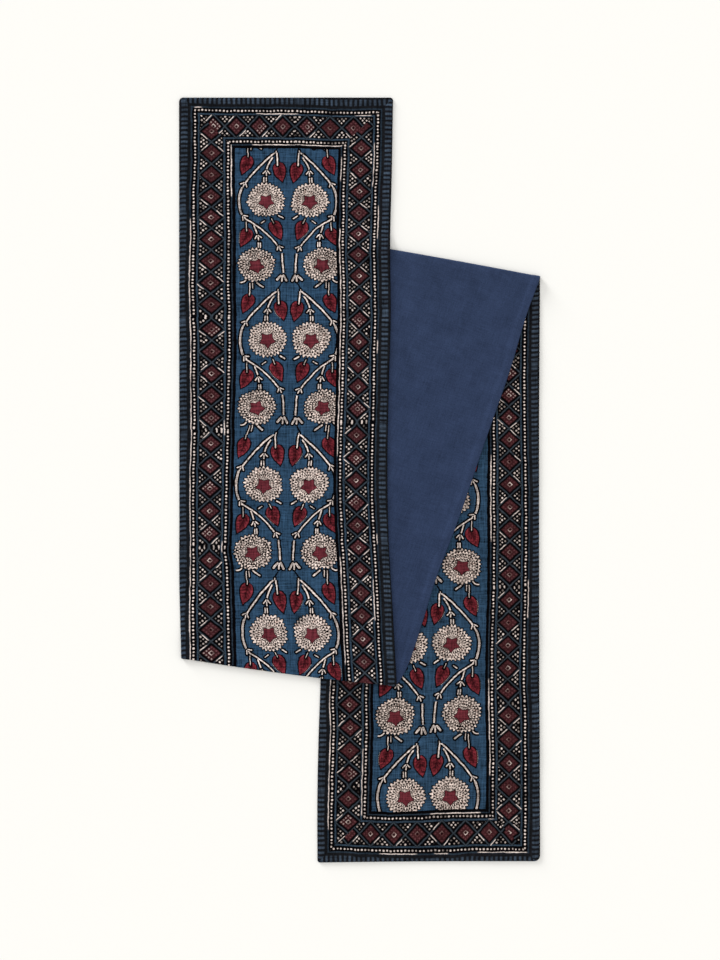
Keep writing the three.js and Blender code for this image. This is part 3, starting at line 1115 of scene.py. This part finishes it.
# The cream streaks on the lattice's arms: where along an arm each lies, its size, and the luck that it takes.
STREAK_PLACE = 0.3
STREAK_PLACE_JOG = 0.4
STREAK_REACH = 0.235
STREAK_HALF = 0.55  # in millimetres
STREAK_ASIDE = 1.5  # in millimetres
STREAK_LUCK = 0.88
STREAK_BLOCK_LUCK = 0.5  # what an arm that slopes its block's way has to help it
# The dots in the triangles between diamonds: the nearest one's distance from the crossing, and the pitches.
SPOT_START = 7.6
SPOT_ROW = 3.6
SPOT_ROWS = 3.0
SPOT_PITCH = 6.4
SPOT_JOG = 1.2
SPOT_RADIUS = 1.2
SPOT_UNEVEN = 0.5
SPOT_OUT = 2.0  # how far outside the lattice's line the dots begin


def make_diamond_band():
    """A lattice with dark red diamonds in it, and cream dots in the triangles between them."""
    tree, given, gives = new_group(
        "diamond_band",
        [("Colour", "Color", (0, 0, 0, 1)), ("Across", "Float", 0.0), ("Along", "Float", 0.0)],
        [("Colour", "Color")],
    )
    across = given["Across"]
    cell = given["Along"].whole()
    from_middle = given["Along"].fraction() - 0.5
    off_middle = across.size() / BAND_HALF
    off_diamond = from_middle.size() * 2.0
    both = off_middle + off_diamond
    _, lucks = chance(tree, place(tree, cell, DIAMOND_CHANCE))
    luck_x, luck_y, luck_z = lucks.parts()

    red = both - DIAMOND_REACH
    red = red.plus(LATTICE_SCALE, luck_z.plus(DIAMOND_UNEVEN, -DIAMOND_UNEVEN / 2)).inside(0.0, 0.9)
    colour = blend_of(tree, red, given["Colour"], DIAMOND_RED)
    along_side = ((off_middle - off_diamond) * (BEADS / BEAD_RING / 2)).fraction() - 0.5
    beads = along_side.size().inside(BEAD_HALF, 0.2) * (both - BEAD_RING).size().inside(BEAD_RING_HALF, 0.07)
    colour = blend_of(tree, beads * luck_z.plus(0.6, 0.25), colour, BEAD_RED)
    # Each core is a black square in a cream one, which printed on some of its sides only; so did some beads.
    lit = (across * (luck_x - 0.5) + from_middle * (luck_y - 0.5) * DIAMOND_PITCH).inside(-0.3, 1.2)
    colour = blend_of(tree, beads * lit * luck_z.over(LIT_BEADS) * 0.4, colour, CREAM)
    colour = blend_of(tree, both.inside(CORE_GROUND, 0.08), colour, DARK_RED)
    core = ((both - CORE_SQUARE) * LATTICE_SCALE).size().inside(CORE_LINE_HALF, 0.6)
    colour = blend_of(tree, core * lit.plus(0.6, 0.25) * luck_x.plus(0.9, 0.15), colour, CREAM)
    colour = blend_of(tree, both.inside(CORE_REACH, 0.06), colour, BLACK)

    in_band = across.size().inside(BAND_HALF, 0.5)
    outward = (both - 1.0) * LATTICE_SCALE
    lattice = outward.size()
    colour = blend_of(tree, lattice.inside(LATTICE_HALF + LATTICE_OUTLINE, 0.6) * in_band, colour, BLACK)
    colour = blend_of(tree, lattice.inside(LATTICE_HALF, 0.9) * in_band, colour, LATTICE_BLUE)

    # Many arms of the lattice that slope one way, a different way for each block, have a streak of cream.
    _, arm_lucks = chance(tree, place(tree, from_middle.over(0.0).plus(ARM_CHANCE, cell), across.over(0.0)))
    arm_x, arm_y, arm_z = arm_lucks.parts()
    way, _ = chance(tree, place(tree, (cell / BLOCK_DIAMONDS).whole(), STREAK_CHANCE))
    one_way = (across * from_middle * (way - 0.5)).over(0.0)
    streak = (outward + arm_x.plus(-STREAK_ASIDE, 0.0)).size().inside(STREAK_HALF, 0.6)
    off_place = (off_diamond - arm_y.plus(STREAK_PLACE_JOG, STREAK_PLACE)).size()
    streak = streak * off_place.inside(STREAK_REACH, 0.05)
    streak = streak * one_way.plus(STREAK_BLOCK_LUCK, arm_z).over(STREAK_LUCK) * in_band

    row = number(tree, "ROUND", (across.size() - SPOT_START) / SPOT_ROW).most(0.0).least(SPOT_ROWS - 1.0)
    crossing = given["Along"] + 0.5
    step = (crossing.fraction() - 0.5).plus(DIAMOND_PITCH / SPOT_PITCH, row * 0.5)
    column = number(tree, "ROUND", step)
    spot_place = place(tree, column.plus(0.3, crossing.whole()), row.plus(2.0, across.over(0.0)))
    spot_luck, spot_lucks = chance(tree, spot_place)
    spot_x, spot_y, spot_z = spot_lucks.parts()
    off_row = across.size() - row.plus(SPOT_ROW, spot_x.plus(SPOT_JOG, SPOT_START - SPOT_JOG / 2))
    off_column = (step - column).plus(SPOT_PITCH, spot_y.plus(SPOT_JOG, -SPOT_JOG / 2))
    distance = (off_row * off_row + off_column * off_column).root()
    spot = distance - spot_z.plus(SPOT_UNEVEN, SPOT_RADIUS - SPOT_UNEVEN / 2)
    spots = spot.inside(0.0, 0.8) * outward.over(SPOT_OUT) * in_band
    spots = spots * spot_luck.plus(1.0, row.plus(-0.12, 0.25), clamp=True)
    put(tree, blend_of(tree, spots.most(streak), colour, CREAM), gives["Colour"])
    return tree


diamond_band = make_diamond_band()


# ---------------------------------------------------------------------------------------------------------
# The vine's flowers and leaves

# A bloom: a star, and rings of petals about a middle a little above the star's.
STAR_TIP = 11.9
STAR_NOTCH = 7.5
STAR_TURN = 0.14  # how far the stars turn from one bloom to another, in radians
STAR_CLEARANCE = 0.9
STAR_STRETCH = (0.94, 1.0, 1.0)
PETAL_MIDDLE = (0.0, 2.0, 0.0)
PETAL_STRETCH = (0.935, 1.0, 1.0)
PETAL_START = 8.2
PETAL_STEP = 4.0
PETAL_RINGS = 5
PETALS_ROUND = 30.0
PETAL_UNEVEN = 0.02
PETAL_TIP = 0.75  # how far each petal rounds out over the next ring, in steps
PETAL_TIP_JOG = 0.5
PETAL_GAP = 3.8
BLOOM_OUTLINE = 1.5

# A leaf. Its outline is a root times a slope, which reaches this much at its widest.
LEAF_LENGTH = 33.0
LEAF_WIDTH = 20.0
LEAF_OUTLINE_PEAK = 0.385
LEAF_BEND = -0.8
LEAF_SLANT = 0.85  # the distance straight out from its edge, against that along X
RIB_HALF = 0.4
VEIN_PITCH = 5.2
VEIN_SLOPE = 0.8
VEIN_HALF = 0.12  # in pitches
VEIN_REACH = 0.7  # as a share of the leaf's half width
VEINS_END = 9.0
# The dashes of bare cloth beside one edge of some leaves: from where to where, how far out, and their sizes.
DASHES_RUN = (-6.0, 11.0)
DASHES_OUT = 0.5
DASH_PITCH = 2.3
DASH_HALF_LENGTH = 0.3  # in pitches
DASH_HALF_WIDTH = 0.3

# The three leaflets that flare from a joint: outward and forward from it.
SIDE_LEAFLET = (1.2, 0.6), (5.0, 4.8)
MIDDLE_LEAFLET = (0.0, 3.2), (0.0, 8.0)
LEAFLET_RADIUS = 0.95

FAR = 100.0


def straight(tree, point, start, end):
    """The distance from a place, whose Z is 1, to a straight stroke."""
    run = np.subtract(end, start)
    per_run = run / (run @ run)
    key = (per_run[0], per_run[1], -float(np.dot(per_run, start)))
    share = number(tree, "ADD", vector(tree, "DOT_PRODUCT", point, key), 0.0, clamp=True)
    along = vector(tree, "SCALE", (run[0], run[1], 0.0), scale=share)
    return vector(tree, "DISTANCE", vector(tree, "SUBTRACT", point, along), (start[0], start[1], 1.0))


def curved(tree, point, start, through, end):
    """The distance from a place, whose Z is 1, to a stroke on the arc of a circle through three points."""
    a, b, c = [complex(*p) for p in (start, through, end)]
    turn = (c - a) / (b - a)
    centre = a - (a - b) * (turn - abs(turn) ** 2) / (2j * turn.imag)
    radius = abs(a - centre)
    middle = (a + c) / 2 - centre
    middle = middle / abs(middle)
    if ((b - centre) * middle.conjugate()).real < 0:
        middle = -middle
    reach = abs(cmath.phase((a - centre) / middle))
    offset = vector(tree, "SUBTRACT", point, (centre.real, centre.imag, 1.0))
    out = vector(tree, "LENGTH", offset)
    facing = vector(tree, "DOT_PRODUCT", offset, (middle.real, middle.imag, 0.0))
    past = out.plus(-math.cos(reach), facing).under(0.0)
    return past.plus(FAR, (out - radius).size())


def make_leaflets():
    """The distance to three leaflets that flare from a joint, by the place from it, growing along Y."""
    tree, given, gives = new_group("leaflets", [("Place", "Vector", None)], [("Distance", "Float")])
    x, y, _ = given["Place"].parts()
    mirrored = place(tree, x.size(), y, 1.0)
    nearest = straight(tree, mirrored, *SIDE_LEAFLET).least(straight(tree, mirrored, *MIDDLE_LEAFLET))
    put(tree, nearest - LEAFLET_RADIUS, gives["Distance"])
    return tree


leaflets = make_leaflets()


def make_bloom():
    """A round bloom of close rings of petals about a five-pointed star, by the place from its middle."""
    tree, given, gives = new_group(
        "bloom",
        [("Place", "Vector", None), ("Luck", "Float", 0.0), ("Line", "Float", 0.3)],
        [("Petals", "Float"), ("Black", "Float"), ("Star", "Float")],
    )
    x, y, _ = vector(tree, "MULTIPLY", given["Place"], STAR_STRETCH).parts()
    radius = (x * x + y * y).root()
    angle = number(tree, "ARCTAN2", x, y)
    turned = given["Luck"].plus(STAR_TURN, angle - STAR_TURN / 2).size()
    point = number(tree, "PINGPONG", turned, math.pi / 5)
    notch = cmath.rect(STAR_NOTCH, math.pi / 5)
    edge = (STAR_TIP - notch) / abs(STAR_TIP - notch) * 1j
    star = radius * (point.cosine() * edge.real + point.sine() * edge.imag) - STAR_TIP * edge.real
    put(tree, star.inside(0.0, 0.7), gives["Star"])

    petal_place = vector(tree, "ADD", given["Place"], PETAL_MIDDLE)
    x, y, _ = vector(tree, "MULTIPLY", petal_place, PETAL_STRETCH).parts()
    angle = number(tree, "ARCTAN2", x, y)
    uneven = given["Luck"].plus(9.0, angle * 3.0).sine() + given["Luck"].plus(25.0, angle * 5.0).sine()
    radius = (x * x + y * y).root() * uneven.plus(PETAL_UNEVEN, 1.0)
    rings_out = (radius - PETAL_START) / PETAL_STEP
    ring = rings_out.whole().most(0.0).least(PETAL_RINGS - 1.0)
    turn = angle * (PETALS_ROUND / (2 * math.pi)) + ring * 0.5
    petal = number(tree, "ROUND", turn)
    _, lucks = chance(tree, place(tree, petal, ring.plus(PETAL_CHANCE, given["Luck"])))
    luck_x, luck_y, luck_z = lucks.parts()
    aside = (turn - petal).size() * 2.0
    tip = (aside * aside).plus(-PETAL_TIP, luck_z.plus(PETAL_TIP_JOG, PETAL_TIP - PETAL_TIP_JOG / 2))
    past = (rings_out - ring - tip) * PETAL_STEP
    line = past.size() - (aside * aside).plus(PETAL_GAP, given["Line"])
    ink = line.inside(0.0, 0.7) * luck_y.plus(0.5, 0.7, clamp=True)
    rim = past - rings_out.under(PETAL_RINGS - 1.0) * FAR
    put(tree, rim.inside(BLOOM_OUTLINE, 0.7), gives["Black"])
    petals = rim.inside(0.0, 0.8) * (1.0 - star.inside(STAR_CLEARANCE, 0.8)) * (1.0 - ink)
    put(tree, petals * luck_x.plus(0.2, 0.8), gives["Petals"])
    return tree


bloom = make_bloom()


def make_leaf():
    """A pointed leaf with its stem at -Y: the distance out from its edge, its veins, and its bare edge."""
    tree, given, gives = new_group(
        "leaf",
        [("Across", "Float", 0.0), ("Along", "Float", 0.0), ("Luck", "Float", 0.5)],
        [("Distance", "Float"), ("Veins", "Float"), ("Bare Edge", "Float")],
    )
    along = given["Along"]
    share = along.plus(1 / LEAF_LENGTH, 0.5, clamp=True)
    half = (share.root() * (1.0 - share)) * (LEAF_WIDTH / 2 / LEAF_OUTLINE_PEAK)
    off_rib = (given["Across"] + (share * share).plus(LEAF_BEND, -LEAF_BEND / 4)).size()
    distance = ((off_rib - half) * LEAF_SLANT).most(along.size() - LEAF_LENGTH / 2)
    put(tree, distance, gives["Distance"])
    veins = (((along - off_rib * VEIN_SLOPE) / VEIN_PITCH).fraction() - 0.5).size()
    veins = veins.inside(VEIN_HALF, 0.16) * (off_rib - half * VEIN_REACH).inside(0.0, 1.0)
    veins = off_rib.inside(RIB_HALF, 0.7).most(veins * 0.8) * along.inside(VEINS_END, 4.0)
    put(tree, veins, gives["Veins"])
    dashes = ((along / DASH_PITCH).fraction() - 0.5).size().inside(DASH_HALF_LENGTH, 0.2)
    edge = (distance - DASHES_OUT).size().inside(DASH_HALF_WIDTH, 0.6)
    edge = edge * (given["Across"] * (given["Luck"] - 0.4)).over(0.0)
    edge = edge * along.over(DASHES_RUN[0]) * along.under(DASHES_RUN[1]) * dashes
    put(tree, edge * given["Luck"].plus(9.0, -5.4, clamp=True), gives["Bare Edge"])
    return tree


leaf_shape = make_leaf()


# ---------------------------------------------------------------------------------------------------------
# The vine's block, in millimetres: X outward from the middle of the two vines, Y down from where the stems
# part. A stroke is its half width, then its two ends, or its start, a place on its way and its end.

STEMS = [
    (1.25, (17.4, -2), (45, 23.5), (65.4, 47.8)),
    (1.1, (66.8, 105), (42, 121.5), (18, 147.5)),
    (1.15, (23, 7.5), (29, 16.5), (32.6, 26)),
    (1.1, (17.3, 0.5), (15.8, 19.5)),
    (1.05, (53, 116), (49.2, 127.5)),
    (0.65, (65, 110), (65, 124)),
    (0.6, (25.5, 105), (22.3, 112)),
    (0.7, (56.5, 206.5), (56.5, 215)),
    (0.7, (60.6, 207.5), (61.4, 227)),
    (0.7, (60.8, -3), (61.4, 6.5)),
    (0.75, (17.6, 217.5), (18.2, 221)),
]
SMALL_LEAVES = [
    (0.9, (33.6, 40), (33.4, 46.6)),
    (0.95, (37.0, 40), (37.1, 46.6)),
    (1.0, (44.4, 143.5), (44.0, 150)),
    (1.0, (47.4, 143.5), (47.2, 150)),
    (1.0, (14.5, 100.2), (7.8, 104)),
    (0.7, (36.5, 108.2), (42, 112)),
    (1.0, (66.3, 200.5), (70.2, 205.3), (76, 205.8)),
]
WIDE_STEMS = [
    (1.5, (70.4, 55), (75, 77), (70.6, 98.5)),
    (1.2, (11.4, 159.5), (10.2, 175), (9.3, 190.5)),
    (1.2, (50, 206.5), (40.5, 213.5)),
    (1.5, (8.8, 194.5), (4.4, 203)),
    (1.2, (11, 195.5), (11.4, 203.5)),
    (1.5, (13.6, 195), (19.3, 201.5)),
]
BLACK_STROKES = [(1.2, (12.8, 208), (18, 216.5))]
STEM_OUTLINE = 2.4
STEM_WEAR = 0.25  # how much narrower than the block the cream of a stem came out
HOLLOW_INSET = 1.0  # from the edge of a wide stem to the dark line along its middle
LEAF_OUTLINE = 1.1
LEAF_INSET = 0.8  # from a leaf's edge to its red

# Where leaflets flare: the joint, its lean outward in degrees, and the Y from which it is the nearest.
JOINTS = [
    ((33.2, 28.3), 0, -20),
    ((66.2, 47.5), 26, 41),
    ((69, 100.3), -39, 78),
    ((48.3, 131), -10, 119),
    ((16.3, 148.3), -25, 144),
]
# Leaves: the middle, and the lean outward in degrees. The inner ones, then the outer ones.
INNER_LEAVES = [((11.9, 31.4), -15), ((18.3, 123.6), -25)]
OUTER_LEAVES = [((65, 20), 21), ((67.6, 135.2), 24)]
LEAF_SPLIT_X = 40.0  # between the inner and the outer leaves
LEAF_SPLIT_Y = 82.0  # between the upper and the lower ones
BLOOMS = [(33.6, 77.5), (50.5, 180.0)]
BLOOM_SPLIT_Y = 127.0
BLOOM_LINES = (0.2, 0.58)  # half widths of the black lines between the petals of each bloom
VINE_JOG = (1.4, 1.4)  # how unevenly the vines' blocks were set down


def stroke(tree, point, *points):
    """The distance from a place to a stroke through two points or three."""
    return curved(tree, point, *points) if len(points) == 3 else straight(tree, point, *points)


def nearest_stroke(tree, point, strokes):
    """The distance out from the nearest of some strokes."""
    nearest = None
    for half_width, *points in strokes:
        distance = stroke(tree, point, *points) - half_width
        nearest = distance if nearest is None else nearest.least(distance)
    return nearest


def direction(lean):
    """The way in which something leans outward from Y, in degrees."""
    return math.sin(math.radians(lean)), math.cos(math.radians(lean)), 0.0


def place_from(tree, point, middle, growth):
    """How far a point lies to the outward side of a middle, and how far along its growth."""
    offset = vector(tree, "SUBTRACT", point, middle)
    side = vector(tree, "CROSS_PRODUCT", growth, (0.0, 0.0, 1.0))
    return vector(tree, "DOT_PRODUCT", offset, side), vector(tree, "DOT_PRODUCT", offset, growth)


def joint_leaflets(tree, point, point_y):
    """The distance to the leaflets at the nearest joint."""
    middle = (*JOINTS[0][0], 1.0)
    growth = direction(JOINTS[0][1])
    for joint, lean, from_y in JOINTS[1:]:
        past = point_y.over(from_y)
        middle = blend_of(tree, past, middle, (*joint, 1.0), "VECTOR")
        growth = blend_of(tree, past, growth, direction(lean), "VECTOR")
    aside, grown = place_from(tree, point, middle, growth)
    return use_group(tree, leaflets, Place=place(tree, aside, grown))["Distance"]


def leaf_at(tree, point, point_x, point_y, luck):
    """The nearest of the four leaves."""
    outer = point_x.over(LEAF_SPLIT_X)
    lower = point_y.over(LEAF_SPLIT_Y)
    facts = []
    for upper_leaf, lower_leaf in (INNER_LEAVES, OUTER_LEAVES):
        middle = blend_of(tree, lower, (*upper_leaf[0], 1.0), (*lower_leaf[0], 1.0), "VECTOR")
        growth = blend_of(tree, lower, direction(upper_leaf[1]), direction(lower_leaf[1]), "VECTOR")
        facts.append((middle, growth))
    middle = blend_of(tree, outer, facts[0][0], facts[1][0], "VECTOR")
    growth = blend_of(tree, outer, facts[0][1], facts[1][1], "VECTOR")
    across, along = place_from(tree, point, middle, growth)
    leaf_luck, _ = chance(tree, place(tree, luck * 7.0 + outer * 3.0, lower))
    return use_group(tree, leaf_shape, Across=across, Along=along, Luck=leaf_luck)


# ---------------------------------------------------------------------------------------------------------
# The materials

COTTON_ROUGHNESS = 0.95
COTTON_SHINE = 0.01
# How strongly each kind of cotton shows its light and dark threads.
BORDER_THREADS = 1.2
FIELD_THREADS = 1.7
PLAIN_COTTON_THREADS = 0.35
MOTTLE_SCALE = 0.17  # of the reds' and petals' mottle, per millimetre
# How far the inks cover what is below them.
VEIN_INK = 0.75
DASH_INK = 0.55
HOLLOW_INK = 0.7
BLUSH_INK = 0.55


def cotton_material(name):
    """A material with the runner's matt cotton surface, and its tree and Principled shader."""
    material = bpy.data.materials.new(name)
    material.use_nodes = True
    tree = material.node_tree
    shader = tree.nodes["Principled BSDF"]
    shader.inputs["Roughness"].default_value = COTTON_ROUGHNESS
    shader.inputs["Specular IOR Level"].default_value = COTTON_SHINE
    return material, tree, shader


def woven(tree, shader, cloth, pitch, strength):
    """Gives a cotton surface its weave, and the light and dark of its threads."""
    weave = use_group(tree, cotton_weave, Place=cloth, Thread_Pitch=pitch)
    bump = tree.nodes.new("ShaderNodeBump")
    bump.inputs["Strength"].default_value = strength
    bump.inputs["Distance"].default_value = WEAVE_RELIEF
    put(tree, weave["Relief"], bump.inputs["Height"])
    put(tree, Sum(tree, bump.outputs[0]), shader.inputs["Normal"])
    return weave["Threads"]


def worn_into(tree, shader, colour, cloth, threads, **further_down):
    """Wears a colour and gives it to the shader. further_down gives the tints that the ink and the cotton
    take further down the cloth.
    """
    worn = use_group(tree, ink_wear, Colour=colour, Place=cloth, Threads=threads, **further_down)
    put(tree, worn["Colour"], shader.inputs["Base Color"])


def border_at(tree, shift):
    """The place in the borders' drawing, and the ground of lines and dots there."""
    at = use_group(
        tree,
        border_place,
        Sides=mapped(tree, "sides"),
        Ends=mapped(tree, "ends"),
        Side_Cream=mapped(tree, "side_cream"),
        End_Cream=mapped(tree, "end_cream"),
        Shift=shift,
    )
    ground = use_group(tree, border_lines, Depth=at["Depth"], Along=at["Along"], Cream=at["Cream"])
    return at["Depth"], at["Along"], ground["Colour"]


def make_border_print():
    """The dark borders: bars along the edge, dotted lines, and a band of diamonds in a lattice."""
    material, tree, shader = cotton_material("border_print")
    cloth = mapped(tree, "cloth")
    threads = woven(tree, shader, cloth, *PRINT_THREADS) * BORDER_THREADS
    shift = use_group(tree, hand_wobble, Place=cloth, Reach=PRINT_WOBBLE)["Shift"]
    depth, along, colour = border_at(tree, shift)
    bar_count = along * BARS_PER_DIAMOND
    bar = (bar_count.fraction() - 0.5).size().inside(BAR_HALF, 0.2)
    joint = (along / BLOCK_DIAMONDS).fraction().inside(0.05, 0.02)
    bar_luck, _ = chance(tree, place(tree, bar_count.whole(), BAR_CHANCE))
    bar = bar.most(joint * 0.5) * (depth - sum(BARS) / 2).size().inside((BARS[1] - BARS[0]) / 2, 1.6)
    colour = blend_of(tree, bar * bar_luck.plus(0.5, 0.45), colour, BAR_BLUE)
    colour = use_group(tree, diamond_band, Colour=colour, Across=depth - BAND_MIDDLE, Along=along)["Colour"]
    worn_into(tree, shader, colour, cloth, threads, Later_Dye=DOWN_INK_TINT, Later_Cotton=DOWN_COTTON_TINT)
    return material


def make_field_print():
    """The blue field with its two mirrored vines, inside the borders' inner lines."""
    material, tree, shader = cotton_material("field_print")
    cloth = mapped(tree, "cloth")
    threads = woven(tree, shader, cloth, *PRINT_THREADS) * FIELD_THREADS
    wobble = use_group(tree, hand_wobble, Place=cloth, Reach=PRINT_WOBBLE)
    depth, _, colour = border_at(tree, wobble["Shift"])
    on_field = depth.over(FIELD_START)

    vine_x, vine_y, _ = mapped(tree, "vine").parts()
    luck, lucks = chance(tree, place(tree, vine_y.whole(), vine_x.over(0.0)))
    # The place in the block's drawing has a Z of 1, so that a stroke's distance takes one dot product.
    jog = vector(tree, "MULTIPLY_ADD", lucks, (*VINE_JOG, 0.0), (-VINE_JOG[0] / 2, -VINE_JOG[1] / 2, 1.0))
    point = vector(tree, "ADD", place(tree, vine_x.size(), vine_y.fraction() * REPEAT), jog)
    point = vector(tree, "ADD", point, wobble["Shift"])
    point_x, point_y, _ = point.parts()
    mottle, _ = cloudy(tree, cloth, MOTTLE_SCALE, detail=2.0, roughness=0.6)
    spread = wobble["Amount"].plus(1.3, -0.65)

    leaf = leaf_at(tree, point, point_x, point_y, luck)
    colour = blend_of(tree, (leaf["Distance"] - spread).inside(LEAF_OUTLINE, 0.9) * on_field, colour, BLACK)
    red = leaf["Distance"].plus(0.1, mottle * 2.0 - 0.15, clamp=True)
    red = blend_of(tree, red, DARK_RED, BRIGHT_RED)
    red = blend_of(tree, leaf["Veins"] * VEIN_INK, red, BLACK)
    colour = blend_of(tree, leaf["Distance"].inside(-LEAF_INSET, 0.9) * on_field, colour, red)
    colour = blend_of(tree, leaf["Bare Edge"] * on_field * DASH_INK, colour, CREAM)

    wide = nearest_stroke(tree, point, WIDE_STEMS)
    hollow = wide.inside(-HOLLOW_INSET, 0.5) * HOLLOW_INK
    cream = nearest_stroke(tree, point, STEMS + SMALL_LEAVES).least(wide)
    cream = cream.least(joint_leaflets(tree, point, point_y))
    black = cream.least(nearest_stroke(tree, point, BLACK_STROKES) + STEM_OUTLINE)
    colour = blend_of(tree, (black - spread).inside(STEM_OUTLINE, 0.6) * on_field, colour, BLACK)
    colour = blend_of(tree, cream.inside(-STEM_WEAR, 0.6) * on_field, colour, CREAM)
    colour = blend_of(tree, hollow * on_field, colour, SOFT_BLACK)

    second = point_y.over(BLOOM_SPLIT_Y)
    middle = blend_of(tree, second, (*BLOOMS[0], 1.0), (*BLOOMS[1], 1.0), "VECTOR")
    from_bloom = vector(tree, "SUBTRACT", point, middle)
    line = second.plus(BLOOM_LINES[1] - BLOOM_LINES[0], BLOOM_LINES[0])
    flower = use_group(tree, bloom, Place=from_bloom, Luck=luck + second, Line=line)
    colour = blend_of(tree, flower["Black"] * on_field, colour, BLACK)
    petal = blend_of(tree, mottle.plus(5.0, -2.7, clamp=True) * BLUSH_INK, PETAL_CREAM, BLUSH)
    colour = blend_of(tree, flower["Petals"] * on_field, colour, petal)
    colour = blend_of(tree, flower["Star"] * on_field, colour, STAR_RED)
    worn_into(tree, shader, colour, cloth, threads, Later_Dye=DOWN_INK_TINT, Later_Cotton=DOWN_COTTON_TINT)
    return material


def make_plain_cotton(name, colour, **further_down):
    material, tree, shader = cotton_material(name)
    cloth = mapped(tree, "cloth")
    threads = woven(tree, shader, cloth, *PLAIN_THREADS)
    worn_into(tree, shader, colour, cloth, threads * PLAIN_COTTON_THREADS, **further_down)
    return material


# ---------------------------------------------------------------------------------------------------------
# The maps and materials put on the cloths

add_print_maps(printed_cloth, printed_faces)
for piece, faces in [(printed_cloth, printed_faces), (backing_cloth, backing_faces)]:
    add_cloth_map(piece, faces)
    add_layout(piece, faces, outer_count)

# The navy backing lightens by the distance down the cloth.
navy_cotton = make_plain_cotton("navy_cotton", NAVY, Later_Dye=DOWN_NAVY_TINT)
for material in (make_border_print(), make_field_print(), make_plain_cotton("unprinted_cotton", UNPRINTED)):
    printed_cloth.data.materials.append(material)
backing_cloth.data.materials.append(navy_cotton)

# The numbers of the printed cloth's materials: its outer skin has the prints, and its inner skin is plain.
FIELD_MATERIAL = 1
UNPRINTED_MATERIAL = 2
# The borders' print reaches in past its band, and the field's print takes over from here on.
BORDER_REACH = 67.0
to_side = np.minimum(places["left"], places["right"])
to_end = np.minimum(places["down"], CLOTH_LENGTH - places["down"])
reach = corner_values(printed_faces, np.minimum(to_side, to_end)).mean(axis=1)
kind = np.where(reach > BORDER_REACH, FIELD_MATERIAL, 0).astype(np.int32)
kind[outer_count : 2 * outer_count] = UNPRINTED_MATERIAL
printed_cloth.data.polygons.foreach_set("material_index", kind)


# ---------------------------------------------------------------------------------------------------------
# The table, the light and the camera

# These sizes are metres.
TABLE_SIZE = 60.0
PALE_PAPER = (0.884, 0.876, 0.843, 1)
PAPER_ROUGHNESS = 0.95
PAPER_SHINE = 0.1
ROOM_WHITE = (1.0, 0.995, 0.985, 1)
ROOM_STRENGTH = 0.9166
WINDOW_STRENGTH = 3.54
WINDOW_SPREAD = 20  # degrees
WINDOW_TURN = (-79, 0, 42)  # degrees
CAMERA_PLACE = (0.0005, 0.0001, 3.447)
CAMERA_LENS = 85.0
CAMERA_FILM = 36  # millimetres high
CAMERA_REACH = 100


def make_table():
    mesh = bpy.data.meshes.new("table_top")
    half = TABLE_SIZE / 2
    corners = [(-half, -half, 0), (half, -half, 0), (half, half, 0), (-half, half, 0)]
    mesh.from_pydata(corners, [], [(0, 1, 2, 3)])
    table = bpy.data.objects.new("table_top", mesh)
    bpy.context.scene.collection.objects.link(table)
    table.data.materials.append(pale_paper())


def pale_paper():
    material = bpy.data.materials.new("pale_paper")
    material.use_nodes = True
    shader = material.node_tree.nodes["Principled BSDF"]
    shader.inputs["Base Color"].default_value = PALE_PAPER
    shader.inputs["Roughness"].default_value = PAPER_ROUGHNESS
    shader.inputs["Specular IOR Level"].default_value = PAPER_SHINE
    return material


def make_light():
    scene = bpy.context.scene
    scene.world = bpy.data.worlds.new("soft_room")
    scene.world.use_nodes = True
    room = scene.world.node_tree.nodes["Background"]
    room.inputs["Color"].default_value = ROOM_WHITE
    room.inputs["Strength"].default_value = ROOM_STRENGTH
    sun = bpy.data.lights.new("window", "SUN")
    sun.energy = WINDOW_STRENGTH
    sun.angle = math.radians(WINDOW_SPREAD)
    window = bpy.data.objects.new("window", sun)
    window.rotation_euler = [math.radians(turn) for turn in WINDOW_TURN]
    scene.collection.objects.link(window)


def make_camera():
    camera = bpy.data.cameras.new("camera")
    camera.lens = CAMERA_LENS
    camera.sensor_width = CAMERA_FILM
    camera.sensor_fit = "VERTICAL"
    camera.sensor_height = CAMERA_FILM
    camera.clip_end = CAMERA_REACH
    eye = bpy.data.objects.new("camera", camera)
    eye.location = CAMERA_PLACE
    bpy.context.scene.collection.objects.link(eye)
    bpy.context.scene.camera = eye


make_table()
make_light()
make_camera()
bpy.context.scene.view_settings.view_transform = "Standard"

for piece, node, slot_name in [
    (printed_cloth, "printed_face", "printed_cotton"),
    (backing_cloth, "plain_backing", "navy_cotton"),
]:
    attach(piece, "root")
    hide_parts(node)
